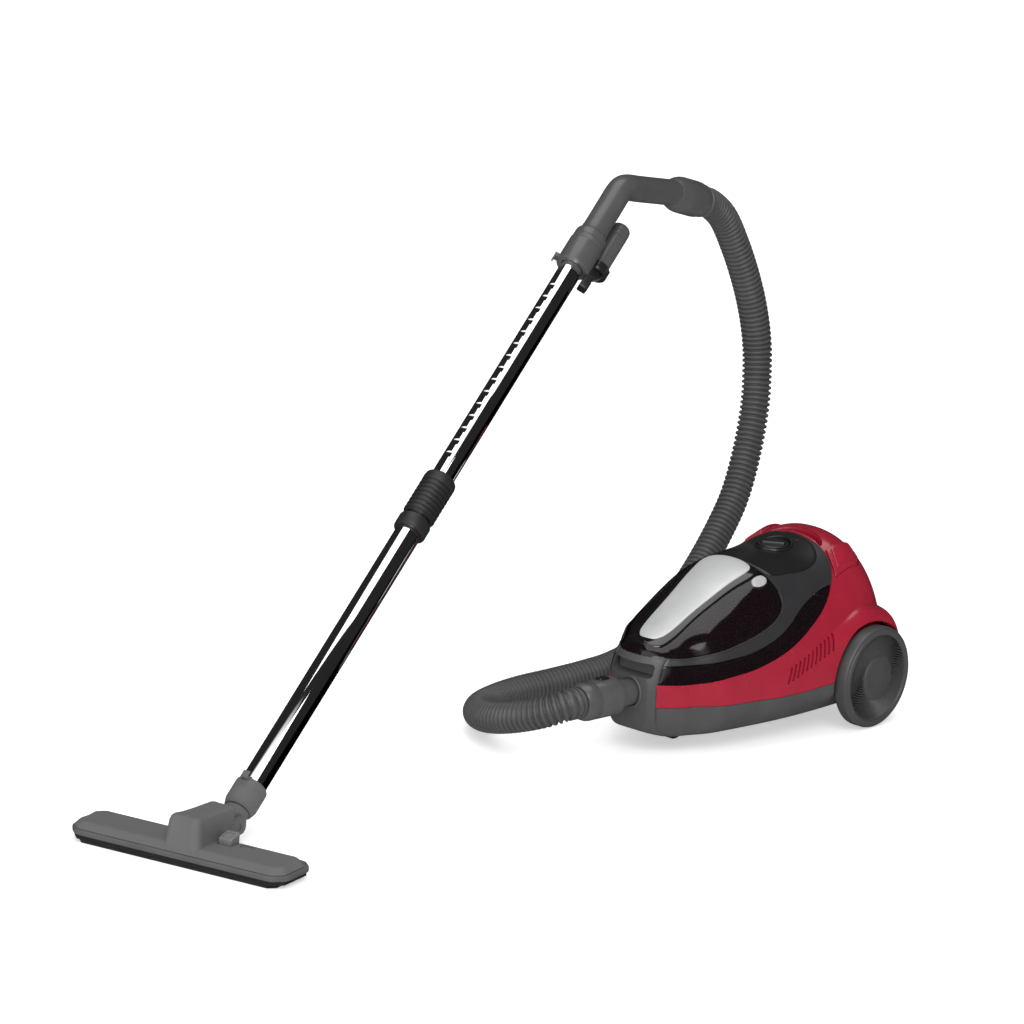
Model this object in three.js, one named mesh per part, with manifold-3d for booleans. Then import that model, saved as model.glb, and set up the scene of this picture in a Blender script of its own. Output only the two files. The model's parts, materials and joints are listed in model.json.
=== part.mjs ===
// Canister vacuum cleaner: canister, hose, bent handle, telescopic wand and floor nozzle.
// Millimetres, +Z up. The canister's nose points along -Y and its left side is +X.
import * as THREE from 'three';
import { mergeVertices } from 'three/addons/utils/BufferGeometryUtils.js';
import Module from 'manifold-3d';

const wasm = await Module();
wasm.setup();

// Driving dimensions -------------------------------------------------------------------------
const GAP = 0.3;
const FAR = 400;
const CANISTER_PLACE = [68.674, 361.77];      // canister centre in the object's own frame
const NOSE_Y = -190;
const TAIL_Y = 195;
const MID_Z = 80;                      // height of the widest line of the body
const WALL = 3;
const WHEEL_R = 64;
const WHEEL_Y = 126;
const WHEEL_IN = 117.5;
const WHEEL_OUT = 139;
const ARCH_R = 69;
const AXLE_R = 5;
const FLARE_ROOT = 84;
const FLARE_FOOT = 58;
const DIAL = { y: 76, r: 20.5, floor: 197 };
const CASTER = { y: -112, trail: 9, r: 17, width: 15 };
const INLET = { y: -186, z: 76, r: 17, swing: 6.5 };
const HOSE_R = 19.25;
const NOZZLE = { x: -64.4, y: -882.4, yaw: 10 };
const HEAD = { width: 296, depth: 74, x: -2.5, y: -4, roof: 24.5, hood: 57, lip: 16.3 };
const NECK = { y: 80, z: 27, pitch: 36.2 };
const YOKE = { y: 58, z: 26, r: 15 };
const LOWER_TUBE = { r: 16, bore: 14.9, from: 31.3, to: 512 };
const UPPER_TUBE = { r: 14.5, bore: 12.9, from: 440, to: 920 };
const RACK = { count: 15, first: 560, pitch: 20 };
const SLEEVE = { from: 447, ring: 465, to: 533.6, r: 20.5 };
const COLLAR = { from: 887, to: 927, r: 21.5 };
const AIR_RING = { from: 927.3, to: 944, r: 20.6 };
const HANDLE_START = 944.3;
const HANDLE_R = 16.5;
const CUFF = { y: 1036, z: 605.5, drop: 17, length: 83, r: 23 };
const TOOL = { x: 8.2, y: 34.9, r: 13, from: 903, to: 983 };
const LATCH_ANGLE = 36;                 // degrees about the wand, from its own +X

// Stations along the canister: y, half width, roof height.
const BODY = [
  [-190, 30, 112], [-178, 42, 131], [-158, 57, 140], [-140, 66, 149], [-112, 84, 163],
  [-86, 92, 176], [-50, 100, 194], [-14, 107, 207], [30, 112, 210], [76, 114, 212],
  [114, 114, 220], [136, 112, 226], [160, 107, 221], [180, 97, 200], [192, 84, 160], [195, 70, 130],
];
// Stations along each wheel arch: y, outer half width, crease height.
const FLARE = [
  [-60, 97, 100], [-35, 106, 110], [0, 113, 118], [50, 122, 129], [85, 131, 139],
  [126, 135, 150], [160, 135, 144], [176, 132, 136], [187, 122, 122],
];
// Side outlines (y, z) of the joints between the shells.
const SHELL_EDGE = [
  [-200, 92], [-160, 91], [-132, 92], [-104, 97], [-67, 102], [-36, 110], [-2, 123],
  [33, 141], [65, 159], [89, 178], [107, 197], [114, 210], [118, 222],
];
const BAND_LOW = [
  [-200, 113], [-134, 114], [-100, 118], [-68, 122], [-32, 133], [-4, 147],
  [20, 161], [52, 172], [90, 179],
];
const BAND_TOP = [
  [-200, 124], [-168, 122], [-142, 122], [-115, 127], [-81, 135], [-50, 144], [-24, 155],
  [-5, 170], [1, 186], [1, 230],
];
const BASE_TOP = [[-220, 62.5], [0, 63], [78, 69], [220, 74]];

// Hose route from the handle's cuff to the canister's inlet, in the canister's frame.
const HOSE_ROUTE = [
  [-258.2, 216.8, 581.0], [-261.5, 235.5, 575.2], [-264, 268, 553], [-264, 297, 512], [-263, 321, 467],
  [-262, 340, 420], [-260, 350, 375], [-256, 349, 335], [-250, 341, 295], [-241, 318, 237],
  [-232, 287, 187], [-225, 250, 149], [-218, 208, 114], [-211, 160, 80], [-204, 112, 50],
  [-199, 64, 29], [-197, 15, 21], [-197, -40, 20], [-200, -95, 20], [-205, -150, 20],
  [-203, -195, 20], [-190, -240, 22], [-164, -276, 27], [-128, -301, 35], [-92, -313, 45],
  [-56, -315, 57], [-28, -308, 68], [-12.3, -293.9, 76], [-10.05, -274.2, 76],
];

// Materials ----------------------------------------------------------------------------------
function finish(color, roughness, metalness = 0) {
  return new THREE.MeshStandardMaterial({ color, roughness, metalness });
}
const RED = finish('#a3233a', 0.22);
const GREY = finish('#4a4a4b', 0.5);
const DARK = finish('#2c2c2d', 0.45);
const NOZZLE_GREY = finish('#6b6b6c', 0.5);
const SMOKE = finish('#1b1516', 0.08);
const SILVER = finish('#c8cacd', 0.35, 0.8);
const CHROME = finish('#d6d6d6', 0.08, 1);
const STEEL = finish('#8d9095', 0.35, 1);
const RUBBER = finish('#1c1c1c', 0.85);
const FOAM = finish('#d8cfae', 0.95);
const BRISTLE = finish('#26221f', 0.95);
const COPPER = finish('#6e6f72', 0.4, 0.7);

// Solids -------------------------------------------------------------------------------------
function signedVolume(position, index) {
  const a = new THREE.Vector3();
  const b = new THREE.Vector3();
  const c = new THREE.Vector3();
  let volume = 0;
  for (let i = 0; i < index.length; i += 3) {
    a.fromBufferAttribute(position, index[i]);
    b.fromBufferAttribute(position, index[i + 1]);
    c.fromBufferAttribute(position, index[i + 2]);
    volume += a.dot(b.cross(c)) / 6;
  }
  return volume;
}

function solid(geometry) {
  const bare = geometry.clone();
  bare.deleteAttribute('normal');
  bare.deleteAttribute('uv');
  const merged = mergeVertices(bare, 1e-4);
  const all = merged.index.array;
  const kept = [];
  for (let i = 0; i < all.length; i += 3) {
    const [p, q, r] = [all[i], all[i + 1], all[i + 2]];
    if (p !== q && q !== r && r !== p) {
      kept.push(p, q, r);
    }
  }
  if (signedVolume(merged.attributes.position, kept) < 0) {
    kept.reverse();
  }
  return new wasm.Manifold(new wasm.Mesh({
    numProp: 3,
    vertProperties: new Float32Array(merged.attributes.position.array),
    triVerts: new Uint32Array(kept),
  }));
}

function toGeometry(shape) {
  const mesh = shape.getMesh();
  const geometry = new THREE.BufferGeometry();
  geometry.setAttribute('position', new THREE.BufferAttribute(mesh.vertProperties, 3));
  geometry.setIndex(new THREE.BufferAttribute(mesh.triVerts, 1));
  geometry.computeVertexNormals();
  return geometry;
}

function piece(parent, name, shape, material) {
  const mesh = new THREE.Mesh(toGeometry(shape), material);
  mesh.name = name;
  parent.add(mesh);
  return mesh;
}

function box(x0, x1, y0, y1, z0, z1) {
  const geometry = new THREE.BoxGeometry(x1 - x0, y1 - y0, z1 - z0);
  geometry.translate((x0 + x1) / 2, (y0 + y1) / 2, (z0 + z1) / 2);
  return solid(geometry);
}

// Turns a shape made about +Z so that its axis is +X or +Y, then moves it.
function placed(geometry, axis, at = [0, 0, 0]) {
  if (axis === 'x') {
    geometry.rotateY(Math.PI / 2);
  }
  if (axis === 'y') {
    geometry.rotateX(-Math.PI / 2);
  }
  geometry.translate(...at);
  return solid(geometry);
}

function cylinderGeometry(radius, from, to, sides = 24) {
  const geometry = new THREE.CylinderGeometry(radius, radius, to - from, sides);
  geometry.rotateX(Math.PI / 2);
  geometry.translate(0, 0, (from + to) / 2);
  return geometry;
}

function cylinder(radius, from, to, axis = 'z', at = [0, 0, 0], sides = 24) {
  return placed(cylinderGeometry(radius, from, to, sides), axis, at);
}

// Revolves (radius, height) points about the axis.
function turned(profile, axis = 'z', at = [0, 0, 0], sides = 24) {
  const points = profile.map(([r, h]) => new THREE.Vector2(r, h));
  const geometry = new THREE.LatheGeometry(points, sides);
  geometry.rotateX(Math.PI / 2);
  return placed(geometry, axis, at);
}

function ring(outer, inner, from, to, axis = 'z', at = [0, 0, 0], sides = 24) {
  const profile = [[inner, from], [outer, from], [outer, to], [inner, to], [inner, from]];
  return turned(profile, axis, at, sides);
}

function outline(points) {
  return new THREE.Shape(points.map(([u, v]) => new THREE.Vector2(u, v)));
}

function planPrism(points, from, to) {
  const geometry = new THREE.ExtrudeGeometry(outline(points), { depth: to - from, bevelEnabled: false });
  geometry.translate(0, 0, from);
  return solid(geometry);
}

// Extrudes a (y, z) outline across x.
function sidePrism(points, from = -FAR, to = FAR) {
  const geometry = new THREE.ExtrudeGeometry(outline(points), { depth: to - from, bevelEnabled: false });
  const basis = new THREE.Matrix4().makeBasis(
    new THREE.Vector3(0, 1, 0), new THREE.Vector3(0, 0, 1), new THREE.Vector3(1, 0, 0),
  );
  geometry.applyMatrix4(basis);
  geometry.translate(from, 0, 0);
  return solid(geometry);
}

function raised(points, dy, dz) {
  return points.map(([y, z]) => [y + dy, z + dz]);
}

function swept(points, radius, bore, sides, steps) {
  const path = new THREE.CatmullRomCurve3(points.map((p) => new THREE.Vector3(...p)));
  const section = new THREE.Shape();
  section.absarc(0, 0, radius, 0, Math.PI * 2, false);
  if (bore > 0) {
    const hole = new THREE.Path();
    hole.absarc(0, 0, bore, 0, Math.PI * 2, true);
    section.holes.push(hole);
  }
  const geometry = new THREE.ExtrudeGeometry(section, {
    steps, extrudePath: path, bevelEnabled: false, curveSegments: sides / 2,
  });
  return solid(geometry);
}

// Body form ----------------------------------------------------------------------------------
// Smooth value of one column of a station list at y.
function smooth(stations, column, y) {
  const last = stations.length - 1;
  const at = Math.min(Math.max(y, stations[0][0]), stations[last][0]);
  let i = 0;
  while (i < last - 1 && at > stations[i + 1][0]) {
    i += 1;
  }
  const slope = (k) => {
    const a = stations[Math.max(k - 1, 0)];
    const b = stations[Math.min(k + 1, last)];
    return (b[column] - a[column]) / (b[0] - a[0]);
  };
  const span = stations[i + 1][0] - stations[i][0];
  const t = (at - stations[i][0]) / span;
  const h = t * t * (3 - 2 * t);
  return stations[i][column] * (1 - h) + stations[i + 1][column] * h
    + span * t * (1 - t) * ((1 - t) * slope(i) - t * slope(i + 1));
}

function power(value, exponent) {
  return Math.sign(value) * Math.abs(value) ** exponent;
}

function bellyAt(y) {
  const nose = Math.max(0, (-150 - y) / 40);
  const tail = Math.max(0, (y - 170) / 25);
  return 19 + 12 * nose ** 1.5 + 12 * tail ** 2;
}

function bodyPoint(y, angle, inset) {
  const width = smooth(BODY, 1, y) - inset;
  const roof = smooth(BODY, 2, y) - inset;
  const belly = bellyAt(y) + inset;
  const c = Math.cos(angle);
  const s = Math.sin(angle);
  if (s >= 0) {
    return [width * power(c, 2 / 2.2), MID_Z + (roof - MID_Z) * power(s, 2 / 2.2)];
  }
  const z = MID_Z + (MID_Z - belly) * power(s, 2 / 7);
  const crease = 46;
  const taper = z < crease ? 1 - 0.13 * (crease - z) / (crease - belly) : 1;
  return [width * taper * power(c, 2 / 7), z];
}

function flarePoint(y, angle) {
  const out = smooth(FLARE, 1, y);
  const crease = smooth(FLARE, 2, y);
  const c = Math.cos(angle);
  const s = Math.sin(angle);
  return [
    FLARE_ROOT + (out - FLARE_ROOT) * Math.max(c, 0) ** (2 / 3),
    FLARE_FOOT + (crease - FLARE_FOOT) * Math.max(s, 0) ** (2 / 3),
  ];
}

// A closed body with one ring of points at each y, moved onto a section formula.
function lofted(ys, sides, section) {
  const rows = ys.length - 1;
  const geometry = new THREE.CylinderGeometry(1, 1, 1, sides, rows);
  const position = geometry.attributes.position;
  for (let i = 0; i < position.count; i += 1) {
    const row = Math.round((position.getY(i) + 0.5) * rows);
    const [px, pz] = [position.getX(i), position.getZ(i)];
    const y = ys[row];
    const edge = section(y, Math.atan2(pz, px));
    if (Math.hypot(px, pz) < 0.5) {
      const [a, b] = [section(y, 0), section(y, Math.PI)];
      position.setXYZ(i, (a[0] + b[0]) / 2, y, (a[1] + b[1]) / 2);
    } else {
      position.setXYZ(i, edge[0], y, edge[1]);
    }
  }
  return solid(geometry);
}

function bodyLoft(inset, sides = 28) {
  const ends = [NOSE_Y + inset, TAIL_Y - inset];
  const between = [-178, -160, -135, -105, -70, -35, 0, 40, 76, 104, 124, 140, 160, 178, 189]
    .filter((y) => y > ends[0] + 1 && y < ends[1] - 1);
  return lofted([ends[0], ...between, ends[1]], sides, (y, angle) => {
    const nearness = Math.max(-1, Math.min(1, y / 150));
    return bodyPoint(y + inset * nearness, angle, inset);
  });
}

// The swelling over a rear wheel: a rounded ledge standing out of the body side.
function flareSolid(side) {
  const ys = [-60, -35, 0, 40, 75, 105, 130, 155, 175, 187];
  const rows = ys.length - 1;
  const arc = 8;
  const corners = arc + 2;
  const geometry = new THREE.CylinderGeometry(1, 1, 1, corners, rows);
  const position = geometry.attributes.position;
  for (let i = 0; i < position.count; i += 1) {
    const y = ys[Math.round((position.getY(i) + 0.5) * rows)];
    const [px, pz] = [position.getX(i), position.getZ(i)];
    const turn = (Math.atan2(pz, px) + 2 * Math.PI) % (2 * Math.PI);
    const k = Math.round(turn / (2 * Math.PI) * corners) % corners;
    let [x, z] = k <= arc ? flarePoint(y, (Math.PI / 2) * (k / arc)) : [FLARE_ROOT, FLARE_FOOT];
    if (Math.hypot(px, pz) < 0.5) {
      [x, z] = [FLARE_ROOT + 6, FLARE_FOOT + 8];
    }
    position.setXYZ(i, side * x, y, z);
  }
  return solid(geometry);
}

// Canister -----------------------------------------------------------------------------------
const outer = bodyLoft(0);
const inner = bodyLoft(WALL);
const skin = outer.subtract(inner);
const noseRoom = box(-37 - GAP, 37 + GAP, NOSE_Y - 5, -152 + GAP, 0, 124 + GAP);
const inletAim = new THREE.Vector3(
  -Math.sin(THREE.MathUtils.degToRad(INLET.swing)), -Math.cos(THREE.MathUtils.degToRad(INLET.swing)), 0,
);

// The space under, or in front of and over, a side outline.
function under(points, floor = -20) {
  const [first, last] = [points[0], points[points.length - 1]];
  return sidePrism([[first[0], floor], [last[0], floor], ...points.slice().reverse()]);
}

function over(points, ceiling = 260) {
  const [first, last] = [points[0], points[points.length - 1]];
  return sidePrism([...points, [last[0], ceiling], [first[0], ceiling]]);
}

function mirrored(points) {
  return [...points, ...points.slice().reverse().map(([x, y]) => [-x, y])];
}

// Points a group's own +Z along a direction.
function aimed(group, at, direction) {
  group.position.set(...at);
  group.quaternion.setFromUnitVectors(new THREE.Vector3(0, 0, 1), direction.clone().normalize());
  return group;
}

function inletBore() {
  const geometry = cylinderGeometry(INLET.r, -40, 30, 28);
  geometry.applyQuaternion(new THREE.Quaternion().setFromUnitVectors(new THREE.Vector3(0, 0, 1), inletAim));
  geometry.translate(0, INLET.y, INLET.z);
  return solid(geometry);
}

const SURROUND = mirrored([
  [14, -173], [24, -166], [29, -150], [33, -100], [40, -50], [45, -18], [41, -6], [28, -1.5],
]);
const PLATE = mirrored([
  [9, -163], [16, -156], [20, -146], [25, -98], [32, -46], [35, -18], [32, -9], [22, -5],
]);
const BUTTON = [[48, -20], [54, -22], [59, -18], [59, -8], [55, -4], [49, -7]];
const BUTTON_HOLE = [[47, -21], [54, -23.2], [60.2, -18.5], [60.2, -7.5], [55.3, -2.8], [47.5, -6.3]];
const PANEL = mirrored([[50, 6], [57, 30], [60, 70], [54, 95], [38, 108], [18, 112.5]]);
const PEDAL = [[51, 117], [79, 103], [76, 150], [66, 163], [48, 165]];
const PEDAL_HOLE = [[50.2, 115.9], [79.9, 101.6], [76.9, 150.6], [66.5, 164], [47.2, 166.2]];
const HALF_MOON = mirrored([[12, 120.5], [30, 119], [42, 116.5], [40, 123], [30, 129], [14, 132]]);

// The finger pocket's outline, scaled about its middle.
function halfMoon(across, along) {
  const middle = 125;
  return HALF_MOON.map(([x, y]) => [x * across, middle + (y - middle) * along]);
}

function flipped(points) {
  return points.map(([x, y]) => [-x, y]);
}

function makeChassis() {
  const pocket = cylinder(33, 20, 50, 'z', [0, CASTER.y, 0]);
  const seats = box(-113, -88, WHEEL_Y - 14, WHEEL_Y + 14, 20.5, 90)
    .add(box(88, 113, WHEEL_Y - 14, WHEEL_Y + 14, 20.5, 90))
    .intersect(outer);
  const ribs = box(0, 84, 45, 49, 20.5, 49.2).add(box(0, 84, 107, 111, 20.5, 49.2));
  return skin.add(seats).add(ribs).add(pocket)
    .intersect(under(raised(BASE_TOP, 0, -GAP)))
    .subtract(cylinder(30.5, 0, 43.9, 'z', [0, CASTER.y, 0]))
    .subtract(cylinder(5.3, 40, 60, 'z', [0, CASTER.y, 0], 20))
    .subtract(cylinder(AXLE_R + GAP, -130, 130, 'x', [0, WHEEL_Y, WHEEL_R], 20))
    .subtract(cylinder(9, 180, 200, 'y', [-46, 0, 52], 20))
    .subtract(noseRoom);
}

function makeShell() {
  const arches = cylinder(ARCH_R, -200, 200, 'x', [0, WHEEL_Y, WHEEL_R], 30)
    .subtract(box(-114.3, 114.3, 0, 300, 0, 200));
  return outer.add(flareSolid(1)).add(flareSolid(-1)).subtract(inner)
    .intersect(over(raised([...BASE_TOP.slice(0, -1), [230, 75]], 0, GAP)))
    .subtract(over(raised(SHELL_EDGE, GAP, -GAP)))
    .subtract(arches)
    .subtract(noseRoom)
    .subtract(planPrism(PEDAL_HOLE, 150, 240))
    .subtract(planPrism(flipped(PEDAL_HOLE), 150, 240))
    .subtract(planPrism(HALF_MOON, 150, 240))
    .subtract(box(-50.3, 50.3, 185, 200, 83.7, 122.3));
}

function makeNoseBlock() {
  return outer.intersect(box(-37, 37, NOSE_Y - 5, -152, 0, 124))
    .subtract(inletBore())
    .subtract(box(-31, 31, NOSE_Y - 5, -171, 98, 115));
}

function makeSaddle() {
  const region = sidePrism([
    ...raised(BAND_LOW, 0, GAP), [106.7, 197.4], [113.6, 210.4], [117.6, 222], [117.6, 260], [1, 260],
    ...raised(BAND_TOP, 0, -GAP).slice(0, -1).reverse(),
  ]);
  const dialSeat = cylinder(25, 193, 230, 'z', [0, DIAL.y, 0]).intersect(outer);
  return skin.intersect(region).add(dialSeat)
    .subtract(cylinder(DIAL.r + 1, DIAL.floor, 240, 'z', [0, DIAL.y, 0]))
    .subtract(cylinder(3.4, 180, 240, 'z', [0, DIAL.y, 0], 16))
    .subtract(noseRoom);
}

function makeLowerWindows() {
  const edge = SHELL_EDGE.slice(0, 10);
  const region = sidePrism([...raised(edge, 0, GAP), ...raised(BAND_LOW, 0, -GAP).slice(0, -1).reverse()]);
  return skin.intersect(region).subtract(box(-FAR, FAR, 84, 200, 0, 300)).subtract(noseRoom);
}

function makeCupWindow() {
  const region = sidePrism([...raised(BAND_TOP, -GAP, GAP), [-200, 260]]);
  return skin.intersect(region).subtract(planPrism(BUTTON_HOLE, 150, 240)).subtract(noseRoom);
}

function layer(points, from, to) {
  return bodyLoft(-to).subtract(bodyLoft(-from)).intersect(planPrism(points, 100, 260));
}

function bodyPanels() {
  const group = new THREE.Group();
  const windows = makeLowerWindows();
  const half = box(0, FAR, -FAR, FAR, 0, 300);
  const panelHole = cylinder(DIAL.r + 1, 150, 260, 'z', [0, DIAL.y, 0]);
  piece(group, 'base_chassis', makeChassis(), GREY);
  piece(group, 'upper_shell', makeShell(), RED);
  piece(group, 'nose_block', makeNoseBlock(), GREY);
  piece(group, 'saddle_frame', makeSaddle(), GREY);
  piece(group, 'lower_window_left', windows.intersect(half), SMOKE);
  piece(group, 'lower_window_right', windows.subtract(half), SMOKE);
  piece(group, 'control_panel', layer(PANEL, GAP, 1.5).subtract(panelHole), DARK);
  const seat = planPrism(halfMoon(1.06, 1.2), 197, 205);
  const pocket = planPrism(HALF_MOON, 199, 240).add(seat)
    .intersect(bodyLoft(WALL + GAP))
    .subtract(planPrism(halfMoon(0.93, 0.72), 201, 240));
  piece(group, 'handle_pocket', pocket, RED);
  return group;
}

function dustCup() {
  const group = new THREE.Group();
  const [x, y] = [0, -70];
  piece(group, 'cup_window', makeCupWindow(), SMOKE);
  piece(group, 'badge_surround', layer(SURROUND, GAP, 2.2), DARK);
  piece(group, 'badge_plate', layer(PLATE, 2.5, 3.5), SILVER);
  const button = bodyLoft(-2.6).subtract(bodyLoft(3));
  piece(group, 'cup_button', button.intersect(planPrism(BUTTON, 150, 240)), SILVER);
  const bucket = [[0, 54], [48, 54], [50, 56], [50, 116], [47.6, 116], [47.6, 57.4], [0, 57.4]];
  piece(group, 'dust_bucket', turned(bucket, 'z', [x, y, 0], 26), SMOKE);
  const cone = [[10, 64], [12, 64], [36, 108], [36, 112], [33.4, 112], [33.4, 109], [10, 67], [10, 64]];
  piece(group, 'filter_cone', turned(cone, 'z', [x, y, 0], 26), FOAM);
  piece(group, 'cyclone_shroud', ring(42, 30, 116.3, 146, 'z', [x, y, 0], 26).intersect(bodyLoft(6)), DARK);
  return group;
}

function controls() {
  const group = new THREE.Group();
  const knob = [
    [0, 182], [3, 182], [3, 197.4], [DIAL.r, 197.4], [DIAL.r, 203], [15.5, 204], [14.5, 209.6], [0, 210],
  ];
  piece(group, 'power_dial', turned(knob, 'z', [0, DIAL.y, 0], 26), DARK);
  const pedals = bodyLoft(-1.6).subtract(bodyLoft(2.6));
  piece(group, 'power_pedal', pedals.intersect(planPrism(PEDAL, 150, 240)), RED);
  piece(group, 'rewind_pedal', pedals.intersect(planPrism(flipped(PEDAL), 150, 240)), RED);
  return group;
}

function motorBay() {
  const group = new THREE.Group();
  const at = [42, 0, 98];
  const can = [[14, 38], [44, 38], [44, 118], [0, 118], [0, 62], [41, 62], [41, 41], [14, 41], [14, 38]];
  piece(group, 'motor_can', turned(can, 'y', at, 26), STEEL);
  piece(group, 'motor_ring_front', ring(48.5, 44.3, 42, 52, 'y', at, 26), RUBBER);
  piece(group, 'motor_ring_rear', ring(48.5, 44.3, 104, 114, 'y', at, 26), RUBBER);
  const fan = [[0, 43], [5, 43], [6, 48], [37, 53], [37, 58], [0, 58]];
  piece(group, 'impeller', turned(fan, 'y', at, 26), STEEL);
  const reelAt = [0, 104, 96];
  const spool = [
    [6, -88], [50, -88], [50, -85], [26, -85], [26, -57], [50, -57], [50, -54], [6, -54], [6, -88],
  ];
  piece(group, 'cord_reel', turned(spool, 'x', reelAt, 26), DARK);
  const bracket = box(-50, -46, 92, 116, 22.5, 108).add(cylinder(5.6, -91, -48, 'x', reelAt, 20));
  piece(group, 'reel_bracket', bracket, COPPER);
  piece(group, 'exhaust_filter', box(-58, 58, 168, 177, 78, 128), FOAM);
  let grille = box(-50, 50, 192.2, 195, 84, 122);
  for (let x = -44; x <= 44; x += 8) {
    grille = grille.subtract(box(x - 1.5, x + 1.5, 190, 200, 88, 118));
  }
  piece(group, 'exhaust_grille', grille, DARK);
  const outlet = [[5, 188], [8.7, 188], [8.7, 195.3], [11, 195.3], [11, 196], [5, 196], [5, 188]];
  piece(group, 'cord_outlet', turned(outlet, 'y', [-46, 0, 52], 20), RUBBER);
  return group;
}

function rearWheel(side, label) {
  const group = new THREE.Group();
  const at = [0, WHEEL_Y, WHEEL_R];
  const rim = [
    [0, 141], [12, 140.8], [27, 139.6], [28, 137], [53, 137], [55, WHEEL_OUT], [61, WHEEL_OUT],
    [WHEEL_R, 135],
    [WHEEL_R, 121], [61, WHEEL_IN], [55, WHEEL_IN], [52, 124], [30, 124], [26, 118], [AXLE_R + GAP, 118],
    [AXLE_R + GAP, 136.5], [0, 136.5], [0, 141],
  ];
  const profile = rim.map(([r, x]) => [r, side * x]);
  piece(group, `rear_wheel_${label}`, turned(profile, 'x', at, 32), GREY);
  const [a, b] = side > 0 ? [89, 136] : [-136, -89];
  piece(group, `rear_axle_${label}`, cylinder(AXLE_R, a, b, 'x', at, 20), STEEL);
  return group;
}

function caster() {
  const group = new THREE.Group();
  const [pinY, wheelY] = [CASTER.y, CASTER.y + CASTER.trail];
  const cheek = (a, b) => box(a, b, pinY - 6, wheelY + 6, 12, 36.5);
  const fork = cylinder(14, 36, 40, 'z', [0, pinY, 0], 24).add(cylinder(5, 39, 50, 'z', [0, pinY, 0], 20))
    .add(cheek(8.3, 11.3)).add(cheek(-11.3, -8.3))
    .subtract(cylinder(2.3, -20, 20, 'x', [0, wheelY, CASTER.r], 16));
  piece(group, 'caster_fork', fork, DARK);
  piece(group, 'caster_wheel', ring(CASTER.r, 2.3, -7.7, 7.7, 'x', [0, wheelY, CASTER.r], 28), RUBBER);
  piece(group, 'caster_axle', cylinder(2, -11.3, 11.3, 'x', [0, wheelY, CASTER.r], 16), STEEL);
  return group;
}

function hoseEnd() {
  const group = aimed(new THREE.Group(), [0, INLET.y, INLET.z], inletAim);
  const shell = [
    [13, -15], [16.6, -15], [16.6, 26], [17.4, 28], [23.6, 31], [24, 34], [24, 80], [20.6, 88], [13, 88],
    [13, -15],
  ];
  const room = box(-6.4, 6.4, 20.5, 30, 40, 56);
  piece(group, 'hose_connector', turned(shell, 'z', [0, 0, 0], 26).subtract(room), GREY);
  piece(group, 'connector_button', box(-6, 6, 22.6, 25.4, 40.4, 55.6), DARK);
  return group;
}

// Wand and handle ----------------------------------------------------------------------------
const pitch = THREE.MathUtils.degToRad(NECK.pitch);

function wandGroup() {
  const group = new THREE.Group();
  group.position.set(0, NECK.y, NECK.z);
  group.rotation.x = pitch - Math.PI / 2;
  return group;
}

function wandPoint(distance) {
  return [0, NECK.y + distance * Math.cos(pitch), NECK.z + distance * Math.sin(pitch)];
}

function telescopicWand() {
  const group = wandGroup();
  let upper = ring(UPPER_TUBE.r, UPPER_TUBE.bore, UPPER_TUBE.from, UPPER_TUBE.to, 'z', [0, 0, 0], 28);
  for (let i = 0; i < RACK.count; i += 1) {
    const at = RACK.first + i * RACK.pitch;
    upper = upper.subtract(box(-5, 5, -20, -UPPER_TUBE.r + 0.9, at, at + 7));
  }
  piece(group, 'upper_tube', upper, CHROME);
  piece(group, 'lower_tube', ring(LOWER_TUBE.r, LOWER_TUBE.bore, LOWER_TUBE.from, LOWER_TUBE.to), CHROME);
  piece(group, 'sleeve_ring', ring(SLEEVE.r, LOWER_TUBE.r + GAP, SLEEVE.from, SLEEVE.ring), DARK);
  const bore = LOWER_TUBE.r + GAP;
  const grip = [
    [bore, 470], [SLEEVE.r - 1, 470], [SLEEVE.r, 474], [SLEEVE.r, 528], [18, SLEEVE.to], [14.9, SLEEVE.to],
    [14.9, 525], [bore, 525], [bore, 470],
  ];
  piece(group, 'release_sleeve', turned(grip), RUBBER);
  return group;
}

function handleCollar() {
  const group = wandGroup();
  const seat = UPPER_TUBE.r + GAP;
  piece(group, 'handle_collar', ring(COLLAR.r, seat, COLLAR.from, COLLAR.to), GREY);
  const vent = box(-30, -10, -5, 5, 931, 940);
  piece(group, 'air_ring', ring(AIR_RING.r, 17, AIR_RING.from, AIR_RING.to).subtract(vent), GREY);
  const latch = new THREE.Group();
  latch.rotation.z = THREE.MathUtils.degToRad(LATCH_ANGLE);
  piece(latch, 'wand_latch', box(18, 30, -7, 7, 868, 886.7), DARK);
  group.add(latch);
  const at = [TOOL.x, TOOL.y, 0];
  const mouth = new THREE.BoxGeometry(60, 60, 30);
  mouth.translate(0, 0, -15);
  mouth.rotateY(-0.6);
  mouth.translate(TOOL.x, TOOL.y, TOOL.from + 9);
  const tool = cylinder(TOOL.r, TOOL.from, TOOL.to, 'z', at, 24)
    .subtract(cylinder(TOOL.r - 2, 850, TOOL.to - 8, 'z', at, 24)).subtract(solid(mouth));
  piece(group, 'crevice_tool', tool, GREY);
  const clip = ring(16, TOOL.r + GAP, 912, 924, 'z', at, 24)
    .subtract(cylinder(COLLAR.r + GAP, 900, 930));
  piece(group, 'tool_clip', clip, DARK);
  return group;
}

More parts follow.
